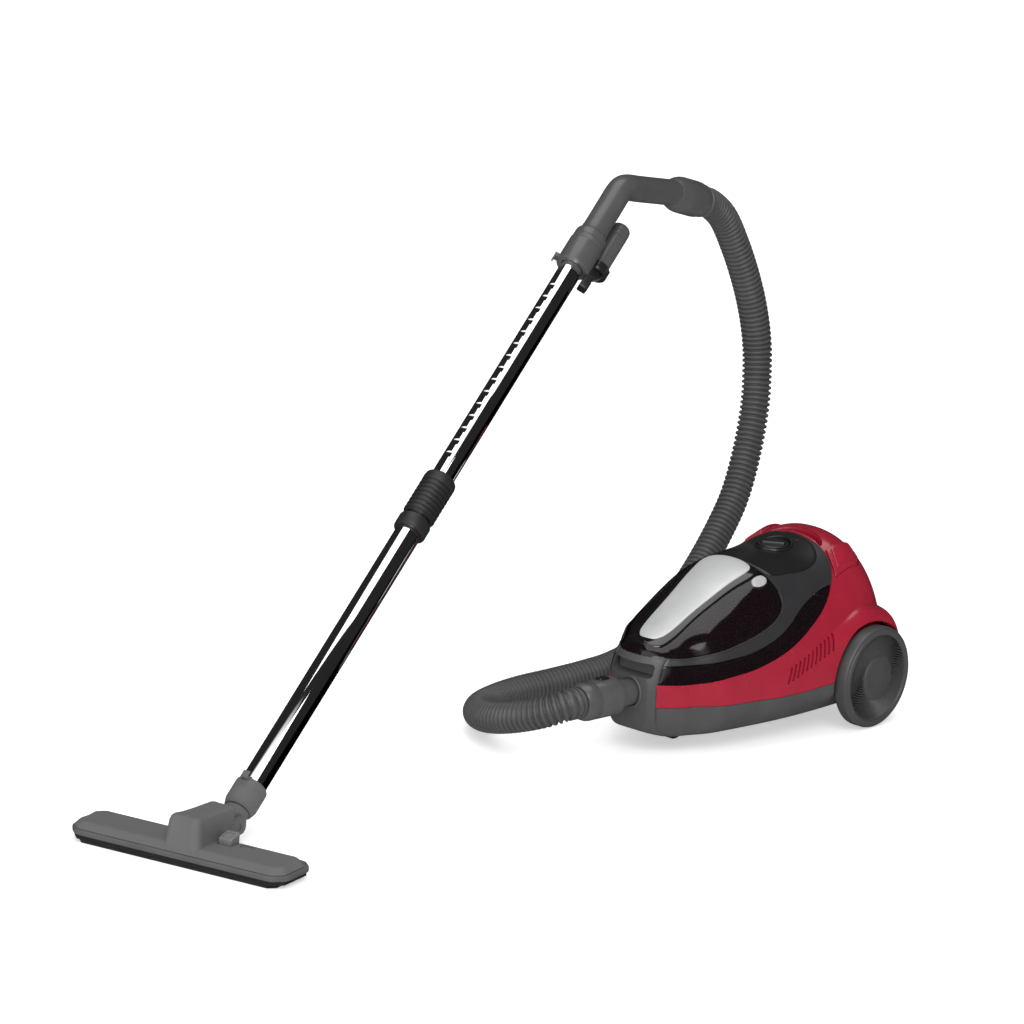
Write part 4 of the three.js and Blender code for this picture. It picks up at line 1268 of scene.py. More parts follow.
@dataclass
class DustCup:
    """The smoked cup, its badge, its button and what shows through it."""

    bench: Bench
    place: Place
    shells: CanisterShells

    def build(self) -> None:
        """Makes the cup's pieces."""
        self.window()
        self.badge()
        self.button()
        self.inside()

    def window(self) -> None:
        """The smoked dome."""
        body = BODY_FORM
        top = partial(body.above, "top")
        y0 = -183.9
        while body.roof(y0) < top(y0):
            y0 += 0.1
        ys = [y0 + (0.4 - y0) * (k / 99) ** 1.15 for k in range(100)]
        lower = [(y, body.lean(y, min(top(y), body.roof(y)))) for y in ys]
        upper = [(y, math.pi / 2) for y in ys]
        mesh = self.shells.strip(lower, upper, 52, "window")
        self.bench.piece("cup_dome", "cup_window", mesh, self.place, [SMOKE], 30)

    @staticmethod
    def loop(half: Sequence[Point], count: int = 120) -> list[Point]:
        """A smooth closed loop from the left half of an outline."""
        return smooth_loop(mirrored_ring(half), 10, count)

    def badge(self) -> None:
        """The gloss black surround and the brushed plate on it."""
        surround = ((14, -173), (24, -166), (29, -150), (33, -100), (40, -50), (45, -18), (41, -6), (28, -1.5))
        plate = ((9, -163), (16, -156), (20, -146), (25, -98), (32, -46), (35, -18), (32, -9), (22, -5))
        levels = [(0, -1.5), (0, 0.3), (0.4, 1.3), (1.4, 2.0), (2.6, 2.2)]
        form = Form().layers(self.loop(surround), levels, ((0, -150), (0, -30)), BODY_FORM.height)
        self.bench.piece("badge_border", "badge_surround", form.mesh("border"), self.place, [BLACK], 40)
        levels = [(0, 1.0), (0, 3.0), (0.25, 3.35), (0.8, 3.5)]
        form = Form().layers(self.loop(plate), levels, ((0, -142), (0, -32)), BODY_FORM.height)
        self.bench.piece("badge_face", "badge_plate", form.mesh("plate"), self.place, [SILVER], 40)

    def button(self) -> None:
        """The rounded release button beside the plate."""
        ring = [(46.4, -23), (52, -26), (57.2, -20), (57.6, -8), (53.4, -3), (47.4, -6)]
        levels = [(0, -3), (0, 0.4), (0.5, 1.5), (1.5, 2.2), (3.0, 2.6)]
        form = Form().layers(smooth_loop(ring, 10, 48), levels, ((53.5, -16), (53.5, -10)), BODY_FORM.height, fill=4)
        self.bench.piece("cup_release", "cup_button", form.mesh("button"), self.place, [BUTTON], 40)

    def inside(self) -> None:
        """The clear bucket, the pale filter cone and the shroud over it."""
        at = Matrix.Translation((0, -70, 0))
        bucket = [
            (0, 54), (47, 54), (49.4, 54.8), (50, 57), (50, 114.5), (50.6, 116), (48.2, 116), (47.6, 114), (47.6, 57.4),
            (0, 57.4),
        ]
        form = Form().joined(Form().turned(bucket), at)
        self.bench.piece("bucket_wall", "dust_bucket", form.mesh("b"), self.place, [BUCKET])
        cone = [
            (9, 64), (12, 64), (20, 78), (28, 93), (35.4, 108), (35.6, 112), (33.4, 112), (33.4, 109), (10, 67),
            (9, 64),
        ]
        form = Form().joined(Form().turned(cone, 216, wobble=lambda a, z: 0.9 * math.sin(36 * a)), at)
        self.bench.piece("pleated_cone", "filter_cone", form.mesh("c"), self.place, [FOAM])
        mesh = frame["nodes"]["cyclone_shroud"].data
        mesh.materials.clear()
        mesh.materials.append(DARK.build())


class Pedals:
    """The two stepped foot pedals behind the control panel."""

    OUTLINE = ((51, 117), (79, 103), (76, 150), (66, 163), (48, 165))
    STEP = ((55, 121), (74, 112), (72, 148), (64, 156), (53, 158))
    SHADE_SKIRT = ((53, 119), (76, 109), (74, 149.5), (65, 158.5), (51.5, 160.5))
    WELL = ((50.2, 115.9), (79.9, 101.6), (76.9, 150.6), (66.5, 164), (47.2, 166.2), (50.2, 115.9))

    def __init__(self, bench: Bench, place: Place) -> None:
        """Keeps the bench and the canister's place."""
        self.bench, self.place = bench, place

    def build(self) -> None:
        """Makes both pedals."""
        for node, side in (("power_pedal", 1), ("rewind_pedal", -1)):
            form = self.pedal()
            if side < 0:
                form = form.flipped()
            mesh = self.bench.rounded(form.mesh("pedal", weld=0.02), 0.5, 2, 40)
            self.bench.piece(f"{node}_cap", node, mesh, self.place, [RED, RED_SHADED], 32)

    def pedal(self) -> Form:
        """The left pedal: a tread, a raised step on it and a skirt of darker red round the step, painted shade at the
        step's foot.
        """
        form = Form()
        for corners, levels, spine, fill, mark in (
            (self.OUTLINE, [(0, -2.6), (0, 1.6), (0.5, 2.2), (1.2, 2.4)], ((62, 122), (62, 152)), 5, 0),
            (self.STEP, [(0, 0.2), (0, 4.2), (0.6, 5.0), (1.5, 5.2)], ((63, 126), (62, 148)), 4, 0),
            (self.SHADE_SKIRT, [(0, 1.6), (0, 2.5), (0.2, 2.56)], ((63, 126), (62, 148)), 4, 1),
        ):
            form.layers(straight_loop(corners, 60), levels, spine, BODY_FORM.height, fill, mark)
        return form


@dataclass
class ControlPanel:
    """The dark panel on top, with its dial and plain marks."""

    bench: Bench
    place: Place
    hole: float = 21.4
    turn: float = -58.0

    def build(self) -> None:
        """Makes the panel and the dial."""
        half = ((50, 6), (57, 30), (60, 70), (54, 95), (38, 108), (18, 112.5))
        loop = DustCup.loop(half, 140)
        levels = [(0, -0.6), (0, 0.6), (0.4, 1.2), (1.2, 1.5)]
        form, ground, spine = Form(), BODY_FORM.height, ((0, 35), (0, 80))
        form.layers(loop, levels, spine, ground, fill=14).layers(loop, levels[:1], spine, ground, fill=14)
        hole = Form().turned([(0, 150), (self.hole, 150), (self.hole, 260), (0, 260)])
        at = Matrix.Translation((0, DIAL_Y, 0))
        mesh = self.bench.carved(form.mesh("panel"), Form().joined(hole, at))
        marks = self.marks(Form().joined(self.bezel(), at))
        mesh = self.bench.both([mesh, marks.mesh("marks", lambda c: Vector((0, 0, 1)))])
        self.bench.piece("top_panel", "control_panel", mesh, self.place, [DARK, CHROME, BUTTON, BLACK], 34)
        self.dial()

    def bezel(self) -> Form:
        """The bright ring round the dial, bent to the panel."""
        profile = [(21.5, 206), (21.5, 215.0), (22.1, 215.7), (23.3, 215.6), (23.9, 214.6), (23.9, 206)]
        ring, ground = Form().turned(profile, 96, mark=1), BODY_FORM.height
        for k, (x, y, z) in enumerate(ring.points):
            ring.points[k] = (x, y, z + (ground(x, y + DIAL_Y) - ground(0, DIAL_Y)))
        return ring

    def marks(self, form: Form) -> Form:
        """Adds three short bars on each side of the dial and an oval pad behind it."""
        ground = BODY_FORM.height
        for side in (-1, 1):
            for k in range(3):
                x, y = side * 33, DIAL_Y - 6 + 6 * k
                bar = arc_rect(x - 2.2 + 0.6 * k, x + 2.2 - 0.6 * k, y - 0.7, y + 0.7, 0.5, 3)
                form.layers(bar, [(0, 1.2), (0, 1.58), (0.15, 1.62)], ((x - 1, y), (x + 1, y)), ground, 1, mark=2)
        pad = DustCup.loop(((6, 101.5), (17, 102.5), (17, 105.5), (6, 106)), 60)
        return form.layers(pad, [(0, 1.3), (0, 1.66), (0.3, 1.75)], ((-8, 104), (8, 104)), ground, 3, mark=3)

    def dial(self) -> None:
        """The round dial: a grip across a dished face, in a fluted skirt."""
        flutes: Height = lambda a, z: -0.45 * max(0.0, math.cos(40 * a)) if z < 214.8 else 0.0
        knob = [
            (0, 182), (3, 182), (3, 197.4), (20.3, 197.4), (20.5, 198), (20.5, 213), (20.0, 215.2), (18.6, 216.2),
            (17.2, 216.1), (15.6, 215.2), (12, 214.6), (6, 214.4), (0, 214.4),
        ]
        form = Form().turned(knob, 160, wobble=flutes)
        outline = arc_rect(-3.4, 3.4, -15.5, 15.5, 3.2, 6)
        levels = [(0, 213.5), (0, 216.6), (0.5, 217.6), (1.4, 218)]
        grip = Form().layers(outline, levels, ((0, -12), (0, 12)), level, 3)
        outline = arc_rect(-0.7, 0.7, 8, 14, 0.6, 4)
        tip = Form().layers(outline, [(0, 217.8), (0, 218.1)], ((0, 9), (0, 13)), level, 2, mark=1)
        turn = Matrix.Translation((0, DIAL_Y, 0)) @ Matrix.Rotation(math.radians(self.turn), 4, "Z")
        whole = Form().joined(form, turn).joined(grip, turn).joined(tip, turn)
        self.bench.piece("dial_knob", "power_dial", whole.mesh("dial"), self.place, [DARK, BUTTON], 40)


@dataclass
class Wheels:
    """The two rear wheels with their spiral vanes, and the caster."""

    bench: Bench
    place: Place
    vanes: int = 60
    hub_r: float = 27.6
    rim_r: float = 54.0
    sweep: float = 0.62
    tilt: float = 0.9
    caster_y: float = -103.0
    caster_r: float = 17.0

    def build(self) -> None:
        """Makes both rear wheels and the caster wheel."""
        for side, label in ((1, "left"), (-1, "right")):
            centre = self.place.moved(0, WHEEL_Y, WHEEL_R).turned(90 * side, "Y")
            form = self.wheel()
            if side < 0:
                form = form.flipped()
            mesh = form.mesh("wheel")
            self.bench.piece(f"wheel_{label}", f"rear_wheel_{label}", mesh, centre, [WHEEL, SHADE, VANE_LIT], 30)
        half = [(self.caster_r, 5.6), (16.2, 7.2), (15.2, 7.6), (14.5, 6.8), (12, 6.8), (11, 7.7), (2.3, 7.7)]
        other = [(r, -z) for r, z in reversed(half)]
        form = Form().turned([*other, *half, other[0]], 72)
        centre = self.place.moved(0, self.caster_y, self.caster_r).turned(90, "Y")
        self.bench.piece("caster_tyre", "caster_wheel", form.mesh("caster"), centre, [RUBBER], 35)

    def wheel(self) -> Form:
        """A wheel about Z, its outer face up."""
        form = Form()
        rim = [
            (53.4, 128), (53.4, 136.2), (54.0, 137.6), (55.0, 138.4), (56.6, 138.9), (58.8, 138.9), (60.2, 138.2),
            (60.9, 137.0), (61.6, 136.6), (62.8, 136.0), (63.7, 134.6), (64.0, 132.8), (64.0, 122.2), (63.6, 120),
            (62.4, 118.4), (60, 117.5), (54, 117.5), (53.4, 119), (53.4, 128),
        ]
        form.turned(rim, 128)
        hub = [
            (0, 140.6), (1.3, 140.6), (1.6, 140.1), (2.4, 140.05), (10, 139.9), (20, 139.3), (25.6, 138.6),
            (27.2, 137.8), (28.0, 136.4), (28.2, 134), (28.2, 119), (27, 118), (5.4, 118), (5.4, 136.5), (0, 136.5),
        ]
        form.turned(hub, 96)
        # The disc between the vanes in painted shade black, for the shade in the gaps.
        form.turned([(27.5, 127.6), (54, 127.6), (54, 125.6), (27.5, 125.6), (27.5, 127.6)], 72, mark=1)
        for k in range(self.vanes):
            self.vane(form, 2 * math.pi * k / self.vanes)
        return form

    def vane(self, form: Form, start: float) -> None:
        """One curved vane from the hub to the rim.

        Args:
            form: the wheel so far.
            start: the vane's angle at the hub.
        """
        rows = []
        for t in (i / 8 for i in range(9)):
            r = self.hub_r + (self.rim_r - self.hub_r) * t
            a = start - self.sweep * t ** 1.3
            half = 0.62 + 0.35 * t
            across = (-math.sin(a) * half, math.cos(a) * half)
            x, y, top = r * math.cos(a), r * math.sin(a), 136.7 + 0.6 * math.sin(math.pi * t)
            outline = ((-1.9, 127.4), (-1, top - self.tilt), (0.2, top), (1, top - 0.3), (1.2, 127.4))
            rows.append([(x + across[0] * s, y + across[1] * s, z) for s, z in outline])
        # The vane's sides and bottom take painted shade black and its two top faces the lit grey: shaded and lit copies
        # of one vane.
        first = len(form.faces)
        form.grid(rows, around=True, mark=1)
        for k in range(first, len(form.faces)):
            if (k - first) % 5 in (1, 2):  # the two faces on top
                form.marks[k] = 2


@dataclass
class TailFittings:
    """The exhaust grille and the mains lead's outlet."""

    bench: Bench
    place: Place
    grille_front: float = 192.2
    slot_pitch: int = 8

    def build(self) -> None:
        """Makes the grille and the outlet."""
        form = Form().block((-50, 50), (self.grille_front, TAIL_Y), (84, 122))
        mesh = self.bench.rounded(form.mesh("grille"), 0.8, 2)
        slots = Form()
        for x in range(-44, 45, self.slot_pitch):
            slot = Form().prism(arc_rect(x - 1.5, x + 1.5, -118, -88, 1.3, 4), 0, 20)
            slots.joined(slot, CanisterShells.facing(0, 185, 0))
        mesh = self.bench.carved(mesh, slots)
        self.bench.piece("tail_grille", "exhaust_grille", mesh, self.place, [DARK], 34)
        profile = [
            (5, 188), (8.7, 188), (8.7, 195.4), (10.4, 195.4), (11, 195.7), (10.6, 196), (6.4, 196), (5.4, 195.6),
            (5, 194.6), (5, 188),
        ]
        form = Form().joined(Form().turned(profile, 48), CanisterShells.facing(-46, 0, 52))
        self.bench.piece("lead_outlet", "cord_outlet", form.mesh("outlet"), self.place, [RUBBER], 40)


# Hose --------------------------------------------------------
@dataclass
class Hose:
    """The free ribbed hose between the handle's cuff and the canister's inlet."""

    bench: Bench
    place: Place
    radius: float = 19.25
    root: float = 16.1
    pitch: float = 6.9
    wave: tuple = (0.0, 0.12, 0.72, 1.0, 1.0, 1.0, 0.72, 0.12)
    route: tuple = (
        (-258.2, 216.8, 581.0), (-261.5, 235.5, 575.2), (-264, 268, 553), (-264, 297, 512), (-263, 321, 467),
        (-262, 340, 420), (-260, 350, 375), (-256, 349, 335), (-250, 341, 295), (-241, 318, 237),
        (-232, 287, 187), (-225, 250, 149), (-218, 208, 114), (-211, 160, 80), (-204, 112, 50),
        (-199, 64, 29), (-197, 15, 21), (-197, -40, 20), (-200, -95, 20), (-205, -150, 20),
        (-203, -195, 20), (-190, -240, 22), (-164, -276, 27), (-128, -301, 35), (-92, -313, 45),
        (-56, -315, 57), (-28, -308, 68), (-12.3, -293.9, 76), (-10.05, -274.2, 76),
    )

    def build(self) -> None:
        line = flowing(self.route, 20)
        length = float(np.linalg.norm(np.diff(line, axis=0), axis=1).sum())
        ribs = int(length / self.pitch)
        line = evenly(line, ribs * len(self.wave) + 1)

        def radius(_share: float, ring: int) -> float:
            """The rib's radius at a ring."""
            return self.root + (self.radius - self.root) * self.wave[ring % len(self.wave)]

        mesh = Form().tube(line, radius, 36).mesh("hose", weld=0.001)
        piece = self.bench.piece("ribbed_hose", "hose", mesh, self.place, [HOSE], 70)
        LOG.info("hose length %.3f m", length * MM)


@dataclass
class HoseEnds:
    """The connector at the inlet and the cuff at the handle."""

    bench: Bench

    def build(self) -> None:
        """Makes the connector, its button and the cuff."""
        shell = [
            (13, -15), (16.2, -15), (16.6, -14.4), (16.6, 24), (16.9, 26), (18.6, 28.6), (21.6, 30.4), (23.2, 31.4),
            (23.9, 33), (24, 35), (24, 66), (23.5, 67.2), (23.5, 68.6), (24, 69.8), (24, 78), (23.6, 80.6),
            (22.4, 83.6), (21.2, 86.6), (20.4, 88), (19.6, 88), (13, 88), (13, -15),
        ]
        flat: Height = lambda a, z: -0.8 * max(0.0, math.sin(a)) ** 12 if 33 < z < 80 else 0.0
        mesh = Form().turned(shell, 96, wobble=flat).mesh("connector")
        room = Form().joined(Form().prism(arc_rect(-6.4, 6.4, -56.2, -39.8, 2.2), 20.5, 32), ALONG_Y)
        mesh = self.bench.carved(mesh, room)
        self.bench.piece("inlet_connector", "hose_connector", mesh, connector_place(), [HANDLE], 34)
        outline, levels = arc_rect(-6, 6, -55.6, -40.4, 2), [(0, 22.6), (0, 24.6), (0.5, 25.2), (1.4, 25.4)]
        cap = Form().layers(outline, levels, ((0, -51), (0, -45)), lambda x, y: -0.02 * x * x, 3)
        mesh = Form().joined(cap, ALONG_Y).mesh("catch")
        self.bench.piece("connector_catch", "connector_button", mesh, connector_place(), [DARK], 40)
        cuff = [
            (10.5, -13), (12.8, -13), (12.8, 0.4), (16.6, 0.4), (17.2, 1.0), (18.6, 4.4), (20.4, 9.6), (21.9, 14.6),
            (22.7, 18.8), (23, 23), (23, 60), (22.7, 65), (21.8, 70.4), (20.9, 74.6), (20.4, 77), (20.1, 78.2),
            (20.7, 79.0), (20.9, 80.4), (20.6, 82.2), (19.8, 83), (10.5, 83), (10.5, -13),
        ]
        bump: Height = lambda a, z: 0.9 * max(0.0, -math.sin(a)) ** 30 if 24 < z < 60 else 0.0
        form = Form().turned(cuff, 96, wobble=bump)
        form.turned([(20.3, 77.0), (21.2, 77.4), (21.2, 78.6), (20.3, 79)], 72, mark=1)
        self.bench.piece("hose_socket", "hose_cuff", form.mesh("cuff"), cuff_place(), [HANDLE, PEDAL], 34)


# Handle and wand ---------------------------------------------
@dataclass
class Handle:
    """The bent handle with its collar, ring, latch, clip and crevice tool."""

    bench: Bench
    radius: float = 16.5
    tool_x: float = 8.2
    tool_y: float = 34.9
    latch_turn: float = 36.0
    hook_turn: float = 35.0

    def build(self) -> None:
        """Makes the handle's pieces."""
        self.tube()
        self.collar()
        self.tool()

    def wand_point(self, s: float) -> Point:
        """A point on the wand's axis, in the nozzle's frame."""
        at = wand_from_nozzle() @ Vector((0, 0, s))
        return (at.x, at.y, at.z)

    def tube(self) -> None:
        """The bent tube and its hidden spigot."""
        path = [
            self.wand_point(944.3), self.wand_point(970), self.wand_point(995), self.wand_point(1015.6),
            (0, 909.2, 631.1),
            (0, 919.7, 631.1), (0, 950, 624.4), (0, 990, 615.6), (0, 1015, 610.1), (0, 1035.2, 605.7),
        ]
        line = evenly(flowing(path, 16), 120)

        def wide(t: float, _ring: int) -> float:
            """The tube's radius, with a soft bead near each end."""
            low, high = ((t - 0.02) / 0.02) ** 2, ((t - 0.99) / 0.02) ** 2
            return self.radius + 0.5 * math.exp(-low) + 0.4 * math.exp(-high)

        form = Form().tube(line, wide, 64)
        inner = Form().turned([(13.2, 927.6), (16.6, 927.6), (16.6, 947), (13.2, 947), (13.2, 927.6)], 64)
        form.joined(inner, wand_from_nozzle())
        self.bench.piece("handle_bend", "handle_tube", form.mesh("handle"), nozzle_place(), [HANDLE], 34)

    def collar(self) -> None:
        """The lower collar with its hook tab, the relief ring, the latch and the clip."""
        place = wand_place()
        profile = [
            (14.9, 887), (20.6, 887), (21.3, 887.8), (21.5, 889), (21.5, 922), (21.2, 923.4), (20.9, 924),
            (21.4, 924.8), (21.5, 925.8), (21.2, 926.8), (20.6, 927), (14.9, 927), (14.9, 887),
        ]
        form = Form().turned(profile, 96)
        hook = Form().prism(arc_rect(-25.4, -19.5, -5, 5, 1.4), 887.5, 893)
        hook.prism(arc_rect(-27.0, -24.6, -5, 5, 1), 884, 893)
        form.joined(hook, Matrix.Rotation(math.radians(self.hook_turn), 4, "Z"))
        self.bench.piece("wand_collar", "handle_collar", form.mesh("collar"), place, [HANDLE], 34)
        ring = [
            (17, 927.3), (20.2, 927.3), (20.6, 927.9), (20.6, 929.6), (20.1, 930.0), (20.1, 930.8), (20.6, 931.2),
            (20.6, 938.6), (20.3, 940.4), (19.4, 942.4), (18.2, 943.6), (17, 944), (17, 927.3),
        ]
        mesh = Form().turned(ring, 96).mesh("ring")
        mesh = self.bench.carved(mesh, Form().block((-30, -10), (-5, 5), (932.5, 939), 1.5))
        self.bench.piece("relief_ring", "air_ring", mesh, place, [HANDLE], 34)
        latch = Form().prism(arc_rect(18, 29.6, -6.8, 6.8, 2.2), 868.4, 886.5)
        for z in (871, 875, 879):
            latch.block((28.6, 30.0), (-5.4, 5.4), (z, z + 1.6))
        mesh = self.bench.rounded(latch.mesh("latch"), 0.6, 2)
        self.bench.piece("wand_catch", "wand_latch", mesh, place.turned(self.latch_turn, "Z"), [DARK], 34)

    def tool(self) -> None:
        """The crevice tool: a domed, banded cap, a body and an oblique mouth."""
        place = wand_place().moved(self.tool_x, self.tool_y, 0)
        profile = [
            (0, 993), (6, 992.6), (10.4, 991), (12.4, 988.2), (13, 984.6), (13, 981), (12.4, 980.4), (12.4, 978.8),
            (13, 978.2), (13, 974), (12.4, 973.4), (12.4, 971.8), (13, 971.2), (13, 903), (11, 903), (11, 983),
            (0, 986),
        ]
        mesh = Form().turned(profile, 72).mesh("tool")
        lean = Matrix.Translation((0, 0, 912)) @ Matrix.Rotation(-0.6, 4, "Y")
        mesh = self.bench.carved(mesh, Form().joined(Form().block((-40, 40), (-40, 40), (-40, 0)), lean))
        self.bench.piece("crevice_nozzle", "crevice_tool", mesh, place, [HANDLE], 34)
        profile = [(13.3, 912), (15.6, 912), (16, 912.6), (16, 923.4), (15.6, 924), (13.3, 924), (13.3, 912)]
        saw = Form().turned([(0, 900), (21.8, 900), (21.8, 930), (0, 930)])
        saw = Form().joined(saw, Matrix.Translation((-self.tool_x, -self.tool_y, 0)))
        mesh = self.bench.carved(Form().turned(profile, 72).mesh("clip"), saw)
        screw = Form().turned([(0, 0), (2.2, 0), (2.2, 1.1), (1.8, 1.5), (0, 1.5)], 24, mark=1)
        arm = Form().block((15.2, 17.0), (-4, 4), (914, 922), 0.8)
        arm.joined(screw, Matrix.Translation((16.9, 0, 918)) @ ALONG_X)
        mesh = self.bench.both([mesh, arm.mesh("arm")])
        self.bench.piece("tool_bracket", "tool_clip", mesh, place, [DARK, STEEL], 34)


@dataclass
class Wand:
    """The telescopic chrome tubes with the release sleeve between them."""

    bench: Bench
    notches: int = 15
    first: float = 560.0
    pitch: float = 20.0

    def build(self) -> None:
        """Makes the tubes, the sleeve and its ring."""
        place = wand_place()
        upper = [(12.9, 440), (14.3, 440), (14.5, 440.4), (14.5, 919.6), (14.3, 920), (12.9, 920), (12.9, 440)]
        mesh = Form().turned(upper, 96).mesh("upper")
        cuts = Form()
        # The notches' cut faces take painted shade black, for the shade inside them.
        for k in range(self.notches):
            z = self.first + k * self.pitch
            shape = [(z - 1.5, -16), (z - 1.5, -13.1), (z + 2, -13.0), (z + 6, -13.1), (z + 9.5, -16)]
            low = [(-7.4, y, s) for s, y in shape]
            high = [(7.4, y, s) for s, y in shape]
            cuts.grid([low, high], around=True, mark=1).lid(low, 1).lid(high, 1)
        mesh = self.bench.carved(mesh, cuts)
        self.bench.piece("upper_wand", "upper_tube", mesh, place, [CHROME, SHADE], 34)
        lower = [(14.9, 31.3), (15.8, 31.3), (16, 31.8), (16, 511.6), (15.8, 512), (14.9, 512), (14.9, 31.3)]
        ring = [
            (16.3, 447), (18.9, 447), (19.9, 447.8), (20.5, 449.4), (20.5, 463), (20.1, 464.4), (19.3, 465),
            (16.3, 465), (16.3, 447),
        ]
        for name, node, profile, finish in (
            ("lower_wand_tube", "lower_tube", lower, CHROME), ("sleeve_base", "sleeve_ring", ring, SLEEVE),
            ("grip_sleeve", "release_sleeve", self.ribbed(), SLEEVE),
        ):
            self.bench.piece(name, node, Form().turned(profile, 96).mesh(name), place, [finish], 34)

    def ribbed(self) -> list[Point]:
        """The sleeve's profile: rings from end to end, a collar at its top."""
        out = [(16.3, 470), (18.2, 470), (18.8, 470.5), (19.0, 471.5)]
        z = 472.5
        while z < 520:
            out += [(18.9, z), (20.1, z + 0.9), (20.5, z + 2.0), (20.5, z + 3.4), (20.1, z + 4.4), (18.9, z + 5.2)]
            z += 6.6
        out += [(19.2, 521), (20.2, 522), (20.5, 524), (20.5, 528), (19.8, 531.6), (18.2, 533.4), (17.0, 533.6)]
        return out + [(14.9, 533.6), (14.9, 525), (16.3, 525), (16.3, 470)]


# Floor nozzle ------------------------------------------------
@dataclass
class FloorNozzle:
    """The wide floor nozzle with its hood, pedal, bumper, sole and neck."""

    bench: Bench
    width: float = 296.0
    depth: float = 74.0
    tufts: int = 73
    tuft_pitch: float = 3.0

    def build(self) -> None:
        """Makes the nozzle's pieces."""
        self.top()
        self.band()
        self.pedal()
        self.underside()
        self.neck()

    @staticmethod
    def outline(width: float, depth: float, cut: float, radius: float = 3.0) -> list[Point]:
        """A rectangle with cut corners, slightly rounded.

        Args:
            width, depth: its sides.
            cut: taken off each corner.
            radius: where the cuts start.

        Returns:
            The outline.
        """
        w, d = width / 2, depth / 2
        corners = [
            (-w, -d + cut), (-w + cut, -d), (w - cut, -d), (w, -d + cut), (w, d - cut), (w - cut, d), (-w + cut, d),
            (-w, d - cut),
        ]
        out = []
        for k, p in enumerate(corners):
            a, b, c = np.array(corners[k - 1]), np.array(p), np.array(corners[(k + 1) % 8])
            first = b + (a - b) / np.linalg.norm(a - b) * radius
            last = b + (c - b) / np.linalg.norm(c - b) * radius
            for t in np.linspace(0, 1, 5):
                out.append(tuple((1 - t) ** 2 * first + 2 * t * (1 - t) * b + t * t * last))
        dense = evenly(np.array(out), 260, closed=True)
        return [tuple(p) for p in dense]

    def top(self) -> None:
        """The top plate with its bevelled edge, the hood and the yoke."""
        levels = [
            (3.0, 16.3), (0.2, 16.3), (0, 16.8), (0.1, 17.6), (0.9, 18.6), (6.2, 23.2), (7.2, 23.9), (8.6, 24.3),
            (10.6, 24.5),
        ]
        plate = Form().layers(self.outline(290, 64, 12, 4), levels, ((-120, 0), (120, 0)), level, 10)
        plate.joined(Form().layers(self.outline(284, 58, 10, 4), [(0, 16.3)], ((-120, 0), (120, 0)), level, 2))
        form = Form().joined(plate, Matrix.Translation((HEAD_X, HEAD_Y - 3, 0)))
        mesh = form.mesh("plate", weld=0.02)
        mesh = self.bench.carved(mesh, self.hood(), "UNION")
        mesh = self.bench.carved(mesh, self.ears(), "UNION")
        room = Form().block((-12, 18), (-14, 60), (10, 49.5), 5)
        roll = Form().turned([(0, -18.55), (16.2, -18.55), (16.2, 18.55), (0, 18.55)], 48)
        room.joined(roll, NECK_HINGE)
        mesh = self.bench.carved(mesh, room)
        wells = Form().block((31, 52), (-2, 20.5), (18, 60), 2).block((58, 76), (5, 14), (23.1, 40), 1.5)
        wells.block((-100, 100), (-30, -18), (10, 21.5)).block((-100, -31), (-17.5, 16), (10, 21.5))
        wells.joined(Form().turned([(0, -30), (4.3, -30), (4.3, 30), (0, 30)], 32), NECK_HINGE)
        mesh = self.bench.carved(mesh, wells)
        floor = Form().block((30.8, 52.2), (-2.2, 20.7), (17.6, 18.4))
        mesh = self.bench.both([mesh, floor.mesh("floor")])
        self.bench.piece("nozzle_cover", "nozzle_top", mesh, nozzle_place(), [NOZZLE], 28)

    @staticmethod
    def hood() -> Form:
        """The raised hood over the neck, leaning to one side."""
        loop = [tuple(p) for p in evenly(np.array(arc_rect(-25, 31, -37, 44, 11, 8)), 140, closed=True)]
        levels = [
            (0, 17), (0, 18.6), (0.8, 20.4), (2.6, 23.0), (4.4, 27.0), (6.0, 34.0), (7.4, 43), (8.6, 50), (10.6, 54.4),
            (13.4, 56.6), (16, 57),
        ]
        spine = ((3, -8), (3, 24))
        hood = Form().layers(loop, levels, spine, level, 6).layers(loop, levels[:1], spine, level, 2)
        for k, (x, y, z) in enumerate(hood.points):
            rise = max(0.0, (z - 24) / 33)
            hood.points[k] = (x + 0.14 * (y + 22) * rise, y + 9 * rise * min(1.0, max(0.0, (y - 10) / 10)), z)
        return hood

    @staticmethod
    def ears() -> Form:
        """The two ears that hold the neck."""
        ears, side = Form(), arc_rect(18, 72, 17, 38, 9, 8)
        for x0, x1 in ((18.6, 24), (-24, -18.6)):
            near, far = ([(x, y, z) for y, z in side] for x in (x0, x1))
            ears.grid([near, far], around=True).lid(near).lid(far)
        return ears

    def band(self) -> None:
        """The bumper band with its proud lip."""
        outer = self.outline(self.width, self.depth, 14, 5)
        steps = (
            (10.5, 9.5), (0.8, 9.5), (0.2, 10.0), (0, 11.0), (0, 14.6), (0.4, 15.6), (1.3, 16.0), (10.5, 16.0),
            (10.5, 9.5),
        )
        form = Form().grid([[self.inset(p, inset, z) for p in outer] for inset, z in steps], around=True)
        base = nozzle_place().moved(HEAD_X, HEAD_Y, 0)
        self.bench.piece("bumper_lip", "bumper_band", form.mesh("bumper"), base, [BUMPER], 34)

    @staticmethod
    def inset(p: Point, inset: float, z: float) -> Point:
        """A point of the outline drawn in towards the nozzle's long middle line."""
        target = np.array([min(max(p[0], -118), 118), 0.0])
        away = target - np.array(p)
        s = np.array(p) + away / np.linalg.norm(away) * inset
        return (s[0], s[1], z)

